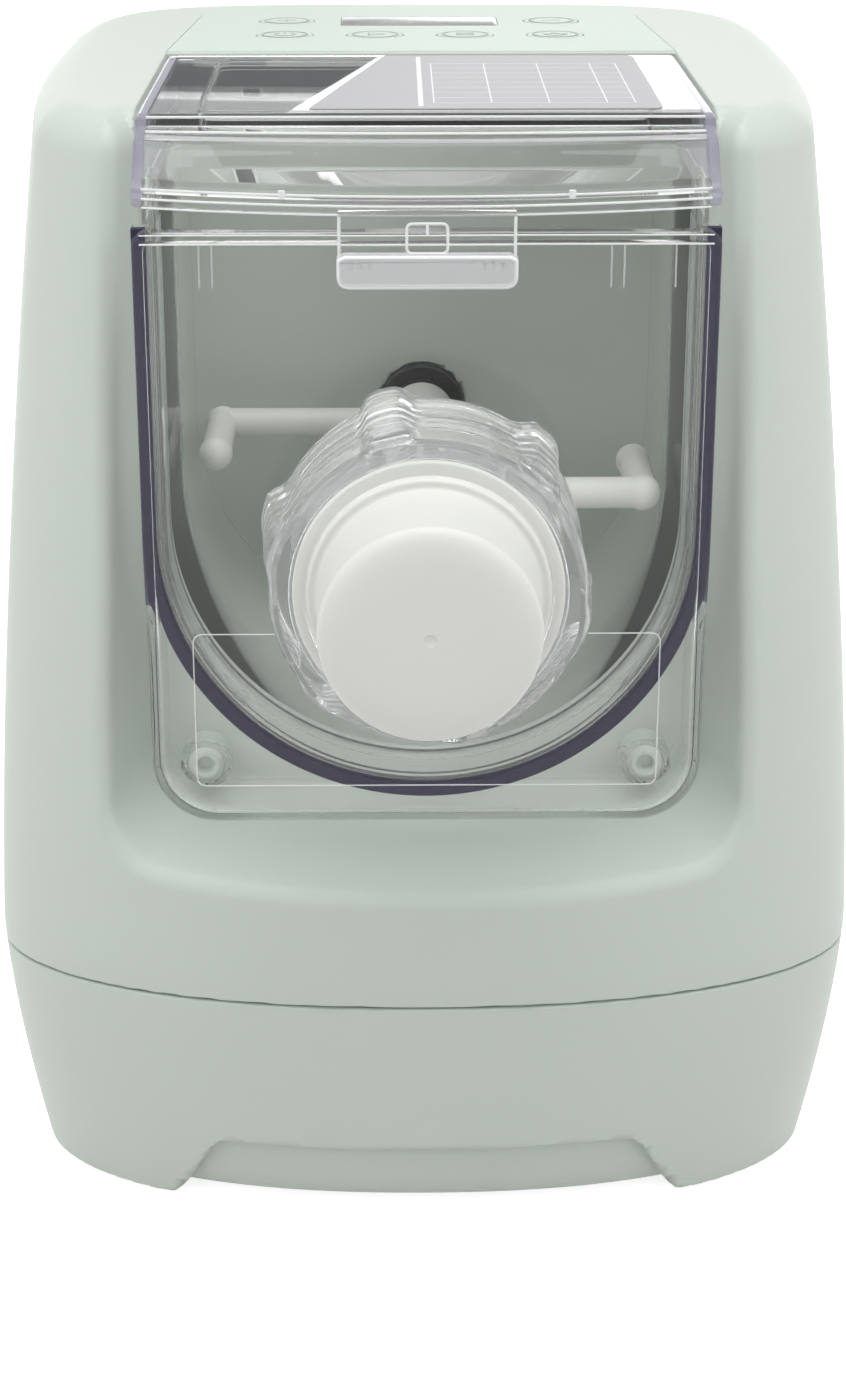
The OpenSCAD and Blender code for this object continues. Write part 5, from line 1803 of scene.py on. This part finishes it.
    def beading(self, rim: Sequence[Point2]) -> list[bpy.types.Object]:
        """Pale beads along the lid's edges, marks and tab, and a milky bead in its roll: painted highlights.

        Args:
            rim: outline of the rim under the top.

        Returns:
            The beads.
        """
        reach, top, back = self.half - self.end_wall, S.body_h, self.hinge_y - 6
        made = []
        for corner, r in self.beads:
            path = [(x, *self.outside(x)[corner]) for x in np.linspace(-reach, reach, 41)]
            made.append(sweep("bead", path, r, sides=8))
        highlight_bead = []
        for x in np.linspace(-reach, reach, 41):
            (ya, za), (yb, zb) = self.outside(x)[10:12]
            highlight_bead.append((x, (ya + yb) / 2 + 0.9, (za + zb) / 2 - 1.2))
        # A milky bead inside the roll: a painted highlight band
        dress(sweep("lid_roll_highlight_band", highlight_bead, self.highlight_band_r, sides=10), P.lip, Body.LID, Slot.CLEAR)
        for s in (-1, 1):
            side = [(s * (self.half - 0.5), y, top - 0.45) for y in (self.y0 + 1, back)]
            made.append(sweep("side", side, 0.3, sides=8))
            gate = [(s * self.gate_x, self.flange_y + 1.6, z) for z in self.gate_z]
            made.append(sweep("gate", gate, 0.8, sides=8))
        made.append(sweep("rim", [(x, y, top - 2.5) for x, y in inset(rim, 0.8)], 0.3, closed=True, sides=8))
        w, y, z0, z1 = self.tab_w / 2, self.flange_y, self.flange_z - self.tab_h, self.flange_z
        for x in (-w + 0.3, w - 0.3):
            made.append(sweep("tab", [(x, y - 1.0, z1), (x, y - 1.0, z0 + 7)], 0.4, sides=8))
        for ahead, draw, r in ((4.2, 0.5, 0.55), (0.4, 0.3, 0.4)):
            path = [(x, y - ahead, z) for x, z in inset(self.lip(), draw)]
            made.append(sweep("lip", path, r, closed=True, sides=10))
        hook = fillet([(-4.7, z1 - 8.5), (4.7, z1 - 8.5), (4.7, z1 - 1.6), (-4.7, z1 - 1.6)], 1.4)
        made.append(sweep("hook", [(x, y - 1.3, z) for x, z in hook], 0.35, closed=True, sides=8))
        made.append(sweep("hook_bar", [(0, y - 1.3, z1 - 4.2), (0, y - 1.3, z1 - 1.6)], 0.35, sides=8))
        return made

    def lip(self) -> list[Point2]:
        """Outline of the tab's thick lip in x and z."""
        w, z0 = self.tab_w / 2, self.flange_z - self.tab_h
        half = [(w + 0.3, z0 - 0.1), (w + 0.3, z0 + 6.8), (w - 1.5, z0 + 7.6)]
        other = [(-x, z) for x, z in half]
        return fillet([other[0], *half, other[2], other[1]], [3, 3, 1, 1, 1, 1])

    def tab(self) -> list[bpy.types.Object]:
        """Build the handle tab with its lip and grips."""
        w, z0, z1, y = self.tab_w / 2, self.flange_z - self.tab_h, self.flange_z + 1.5, self.flange_y
        plate = fillet([(-w, z0), (w, z0), (w, z1), (-w, z1)], [3.5, 3.5, 0.8, 0.8])
        pieces = [slab("tab_plate", plate, y - 1.2, y + 1.3, 0.5)]
        # The lip's milky pale resin: a painted highlight
        dress(slab("lid_tab_lip", self.lip(), y - 4.8, y + 1.0, 1.1, segments=4), P.lip, Body.LID, Slot.CLEAR)
        for s in (-1, 1):
            for k in range(3):
                x = s * (w - 3.2 - 2.1 * k)
                pieces.append(sweep("grip", [(x, y - 4.7, z0 + 4.6), (x, y - 4.7, z0 + 6.6)], 0.5, sides=8))
        return pieces

    def film(self) -> None:
        """Build and dress the film on the lid, with plain ruled lines."""
        z, w = S.body_h, self.rule_w
        (left, right), y0, y1 = self.film_x, self.y0 + 8, self.hinge_y - 4
        outline = fillet([(left, y0), (right, y0), (right, y1), (self.film_corner, y1)], [1, 3, 3, 1])
        film = slab("printed_film", outline, z + 0.02, z + 0.24, 0.05, flat=True, segments=1)
        dress(film, P.film, Body.LID, Slot.FILM, "lid_label")
        rules = []
        for k in range(self.rows):
            y = y0 + 8 + self.row_pitch * k
            rules.append(block("rule", (self.columns[0], y, z + 0.2), (right - 6, y + w, z + 0.27)))
        for x in self.columns:
            rules.append(block("rule", (x, y0 + 8, z + 0.2), (x + w, y0 + 75.4, z + 0.27)))
        rules.append(block("rule", (-1.6, y0 + 3, z + 0.2), (-0.4, y1 - 3, z + 0.28)))
        dress(join(rules, "film_rules"), P.rule, Body.LID, Slot.FILM)


# ---- Nozzle -----------------------------------------------------------------------


@dataclass
class Nozzle:
    """Clear ring nut and white nozzle head."""

    nut_y0: float = -3.0
    nut_y1: float = -41.0
    nut_r: float = 36.6
    bore: float = 32.0
    lip_bore: float = 28.4
    lip_y0: float = -37.8
    lugs: int = 6
    lug_from: float = 45.0  # angle of the first lug in degrees
    lug_half: float = 8.0  # half a lug's width in degrees
    lug_flank: float = 1.3  # softness of its flanks in degrees
    ridges: int = 5
    ridge_pitch: float = 4.8
    head_y0: float = -33.3
    head_y1: float = -37.5
    tube_r: float = 24.8
    tube_t: float = 3.0
    tip_y: float = -70.0
    crown: float = 4.0  # how far the face's rounding runs back
    slot_w: float = 29.0  # opening in the tube's underside
    slot_y: tuple[float, float] = (7.0, 27.0)  # its ends behind the tip
    slot_z: tuple[float, float] = (-30.0, -10.0)  # and its height from the axis

    def swell(self, angle: float, radius: float, at: float) -> float:
        """Extra radius of a lug on the nut's outside at an angle, less towards the front."""
        if radius <= self.bore + 1.0:
            return 0.0
        turn_part = (math.degrees(angle) - self.lug_from) % (360 / self.lugs)
        off = min(turn_part, 360 / self.lugs - turn_part)
        shape = 1 / (1 + math.exp((off - self.lug_half) / self.lug_flank))
        fall = np.interp(at, [self.nut_y1, self.nut_y1 + 8, -12, self.nut_y0], [0.5, 2.0, 3.3, 3.6])
        return float(shape * fall)

    def nut(self) -> bpy.types.Object:
        """Build the nut with its lugs, its ridges and the lip that holds the head."""
        r, y0, y1 = self.nut_r, self.nut_y0, self.nut_y1
        outer = [(r - 0.8, y0), (r + 0.2, y0 - 0.9), (r + 0.2, y0 - 7.0)]
        at = y0 - 7.6
        for _ in range(self.ridges):
            outer += [(r - 0.95, at), (r - 0.1, at - 0.8), (r - 0.1, at - 4.0)]
            at -= self.ridge_pitch
        outer += [(r - 0.2, y1 + 2.6), (r - 1.0, y1 + 0.6), (r - 2.2, y1)]
        inner = [
            (self.lip_bore + 0.9, y1),
            (self.lip_bore, y1 + 0.8),
            (self.lip_bore, self.lip_y0),
            (self.bore, self.lip_y0),
            (self.bore, y0),
        ]
        rounding = [0.4] * len(outer) + [0.6, 0.5, 0.3, 0.5, 0.4]
        profile = fillet(outer + inner, rounding, n=3)
        return turn("ring_nut_moulding", profile, (0, S.axis_z), steps=240, swell=self.swell)

    def head(self) -> bpy.types.Object:
        """Build the head: a collar under the nut's lip, and a closed tube with a slot below."""
        tube, tip, inner_r = self.tube_r, self.tip_y, self.tube_r - self.tube_t
        collar, lip_r, front = self.bore - 0.8, self.lip_bore - 0.5, self.nut_y1 - 0.4
        face = [(CORE, tip + 0.35), (1.1, tip + 0.3), (1.5, tip + 0.01)]
        shares = [0.1 + 0.9 * math.sin(a) for a in np.linspace(0, math.pi / 2, 26)]
        face += [(tube * u, tip + self.crown * (1 - math.sqrt(max(0.0, 1 - u**5)))) for u in shares]
        neck = fillet(
            [
                (tube + 0.05, tip + 12),
                (tube + 0.7, front),
                (lip_r, front),
                (lip_r, self.head_y1),
                (collar, self.head_y1),
                (collar, self.head_y0),
                (inner_r, self.head_y0),
                (inner_r, tip + 8),
                (inner_r - 3, tip + 4.4),
                (CORE, tip + 3.4),
            ],
            [4, 1.2, 1.0, 0.4, 0.8, 0.5, 0.5, 2, 2, 0],
            closed=False,
        )
        head = turn("nozzle_moulding", face + neck, (0, S.axis_z), steps=128)
        w, (y0, y1), (z0, z1) = self.slot_w / 2, self.slot_y, self.slot_z
        slot = block("slot", (-w, tip + y0, S.axis_z + z0), (w, tip + y1, S.axis_z + z1))
        return carve(head, [slot])

    def build(self) -> None:
        """Build and dress the nut and the nozzle head."""
        dress(self.nut(), P.frost, Body.NUT, Slot.CLEAR, "ring_nut")
        dress(self.head(), P.white, Body.NOZZLE, Slot.WHITE, "nozzle_head")


# ---- Inner works and back ---------------------------------------------------------


@dataclass
class Works:
    """Inner pieces, which only need their finish, and the interlock window."""

    pane_x: float = -46.5
    pane_w: float = 6.4
    pane_h: float = 9.2

    def finishes(self) -> dict[str, Finish | ClearResin]:
        """Finish of each CAD node that stays in view."""
        return {
            "rubber_feet": P.rubber,
            "display_module": P.black,
            "key_switches": P.black,
            "control_board": P.board,
            "locating_posts": P.sage,
            "lid_hinge_pins": P.steel,
            "lid_magnet": P.steel,
            "lid_sensor": P.board,
            "die_plate": P.white,
            "auger_screw": P.white,
            "mixing_paddle": P.white,
            "drive_shaft": P.steel,
            "shaft_seal": P.rubber,
            "shaft_bearings": P.steel,
            "gearbox_housing": P.zinc,
            "gearbox_cover": P.zinc,
            "output_gear": P.nylon,
            "idler_gear": P.nylon,
            "idler_shaft": P.steel,
            "motor_pinion": P.brass,
            "motor_shaft": P.steel,
            "rotor_core": P.copper,
            "motor_case": P.steel,
            "motor_magnets": P.ferrite,
            "motor_end_caps": P.zinc,
            "motor_fan": P.black,
            "power_board": P.board,
            "board_components": P.black,
            "power_inlet": P.black,
            "inlet_pins": P.brass,
            "body_screws": P.steel,
            "gearbox_screws": P.steel,
            "board_screws": P.steel,
        }

    def build(self, nodes: dict[str, bpy.types.Object]) -> None:
        """Dress the nodes, and build the interlock window with its frame."""
        for name, finish in self.finishes().items():
            finish_node(nodes[name], finish)
            LOG.info("%s: %s", name, finish.name)
        x, z, y = self.pane_x, S.body_h - 9, S.bulk_y1
        w, h = self.pane_w / 2, self.pane_h / 2
        outer = fillet([(x - w, z - h), (x + w, z - h), (x + w, z + h), (x - w, z + h)], 0.8)
        # Distance in from the outline, and place along y
        section = [(0.9, y + 0.2), (0.9, y - 0.5), (0.2, y - 0.7), (0.0, y - 0.4), (0.0, y + 0.2)]
        rings = [[(across, at, up) for across, up in inset(outer, d)] for d, at in section]
        frame = loft("interlock_frame", rings, around=True)
        dress(frame, P.rule, Body.MACHINE, Slot.SMOKE)
        pane = slab("interlock_pane", inset(outer, 0.8), y - 0.35, y + 0.2, 0.1)
        dress(pane, P.black, Body.MACHINE, Slot.BLACK, "interlock_window")


# ---- Studio -----------------------------------------------------------------------


@dataclass
class Studio:
    """Plain pale floor, soft lamps and the camera."""

    tilt: float = 20.96
    yaw: float = 0.62
    lens: float = 70.48
    place: Point3 = (-7.6, -616.8, 384.9)
    fill: float = 0.26  # strength of the even sky on dull surfaces
    card_y: float = 600.0
    near: float = 300.0  # distance within which the floor shows its shadow
    far: float = 900.0  # distance from which it is plain white
    floor_half: float = 6000.0
    middle: Point3 = (0, 60, 150)  # what the high and side lamps face
    low: Point3 = (0, 60, 120)  # what the front lamps face

    def build(self) -> None:
        """Build the floor, lamps, world and camera."""
        self.floor()
        self.lamp("top_box", (0, -130, 1450), self.middle, 1500, 1300, 17.5)
        self.lamp("left_box", (-1400, 100, 500), self.middle, 900, 1200, 5.0)
        self.lamp("right_box", (1400, 100, 500), self.middle, 900, 1200, 5.4)
        self.lamp("front_left_box", (-1050, -1050, 850), self.low, 900, 900, 6.4)
        self.lamp("front_right_box", (1050, -1050, 850), self.low, 900, 900, 6.0)
        self.lamp("rear_box", (0, 1700, 320), self.middle, 1600, 500, 5.0)
        self.card()
        self.world()
        self.camera()

    def card(self) -> None:
        """Stand a dark card behind the machine, which only the lid's gloss shows."""
        y = self.card_y
        outline = [(-150, 326), (8, 330), (-62, 390), (-150, 390)]
        card = loft("dark_card", [[(x, at, z) for x, z in outline] for at in (y, y + 3)])
        card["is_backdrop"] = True
        card.data.materials.append(P.card.make())
        card.visible_camera = False
        card.visible_diffuse = False
        card.visible_transmission = False
        card.visible_shadow = False

    def floor(self) -> None:
        """Build the floor, white to the camera but for the soft shadow by the feet."""
        e, z = self.floor_half, -0.1
        plane = solid("floor", [(-e, -e, z), (e, -e, z), (e, e, z), (-e, e, z)], [(0, 1, 2, 3)])
        plane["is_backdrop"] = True
        mat = blank("pale_floor")
        tree = mat.node_tree
        place = add(tree, "ShaderNodeTexCoord").outputs["Object"]
        away = add(tree, "ShaderNodeVectorMath", {0: place}, operation="LENGTH").outputs["Value"]
        glow = add(
            tree,
            "ShaderNodeMapRange",
            {
                "Value": away,
                "From Min": self.near * MM,
                "From Max": self.far * MM,
                "To Min": 0.8,
                "To Max": 1.0,
            },
        )
        seen = add(tree, "ShaderNodeMath", {0: self.direct(tree), 1: glow.outputs[0]}, operation="MULTIPLY")
        shader = add(
            tree,
            "ShaderNodeBsdfPrincipled",
            {
                "Base Color": linear("#D4D4D4"),
                "Roughness": 0.6,
                "Emission Color": (1, 1, 1, 1),
                "Emission Strength": seen.outputs[0],
            },
        )
        add(tree, "ShaderNodeOutputMaterial", {"Surface": shader.outputs[0]})
        plane.data.materials.append(mat)

    def lamp(self, name: str, at: Point3, aim: Point3, width: float, height: float, watts: float) -> None:
        """Hang a soft box.

        Args:
            name: name of the lamp.
            at: its place.
            aim: point that it faces.
            width: its width.
            height: its height.
            watts: its strength.
        """
        data = bpy.data.lights.new(name, "AREA")
        data.shape, data.size, data.size_y, data.energy = "RECTANGLE", width * MM, height * MM, watts
        obj = bpy.data.objects.new(name, data)
        start, end = (Vector(metres([p])[0]) for p in (at, aim))
        obj.location = start
        obj.rotation_mode = "QUATERNION"
        obj.rotation_quaternion = (end - start).to_track_quat("-Z", "Y")
        bpy.context.scene.collection.objects.link(obj)

    def world(self) -> None:
        """Make the sky: even and low on dull surfaces, white to the camera and in glass and gloss."""
        world = bpy.data.worlds.new("soft_white")
        bpy.context.scene.world = world
        world.use_nodes = True
        tree = world.node_tree
        tree.nodes.clear()
        level = add(
            tree, "ShaderNodeMix", {"Factor": self.direct(tree), "A": self.fill, "B": 1.0}, data_type="FLOAT"
        )
        sky = add(tree, "ShaderNodeBackground", {"Color": (1, 1, 1, 1), "Strength": level.outputs[0]})
        add(tree, "ShaderNodeOutputWorld", {"Surface": sky.outputs[0]})

    def direct(self, tree: bpy.types.NodeTree) -> bpy.types.NodeSocket:
        """Return 1 for rays that the camera sees, straight or by glass or gloss, and 0 for others."""
        path = add(tree, "ShaderNodeLightPath")
        seen = path.outputs["Is Camera Ray"]
        for kind in ("Is Transmission Ray", "Is Glossy Ray"):
            feeds = {0: seen, 1: path.outputs[kind]}
            seen = add(tree, "ShaderNodeMath", feeds, operation="MAXIMUM").outputs[0]
        return seen

    def camera(self) -> None:
        """Set the camera."""
        data = bpy.data.cameras.new("camera")
        data.lens, data.sensor_width = self.lens, 36
        obj = bpy.data.objects.new("camera", data)
        obj.location = metres([self.place])[0]
        obj.rotation_euler = (math.radians(90 - self.tilt), 0, math.radians(-self.yaw))
        bpy.context.scene.collection.objects.link(obj)
        bpy.context.scene.camera = obj
        bpy.context.scene.view_settings.view_transform = "Standard"


def corners() -> list[list[float]]:
    """Lowest and highest corner of what shows, as plain numbers."""
    return [list(map(float, corner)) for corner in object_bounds()]


def main() -> None:
    """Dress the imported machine, light it and set the camera."""
    logging.basicConfig(level=logging.INFO, format="%(name)s: %(message)s")
    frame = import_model()
    Studio().build()
    Casing().build()
    ControlPanel().build()
    MixingBay().build()
    Lid().build()
    Nozzle().build()
    Works().build(frame["nodes"])


if __name__ == "__main__":
    main()
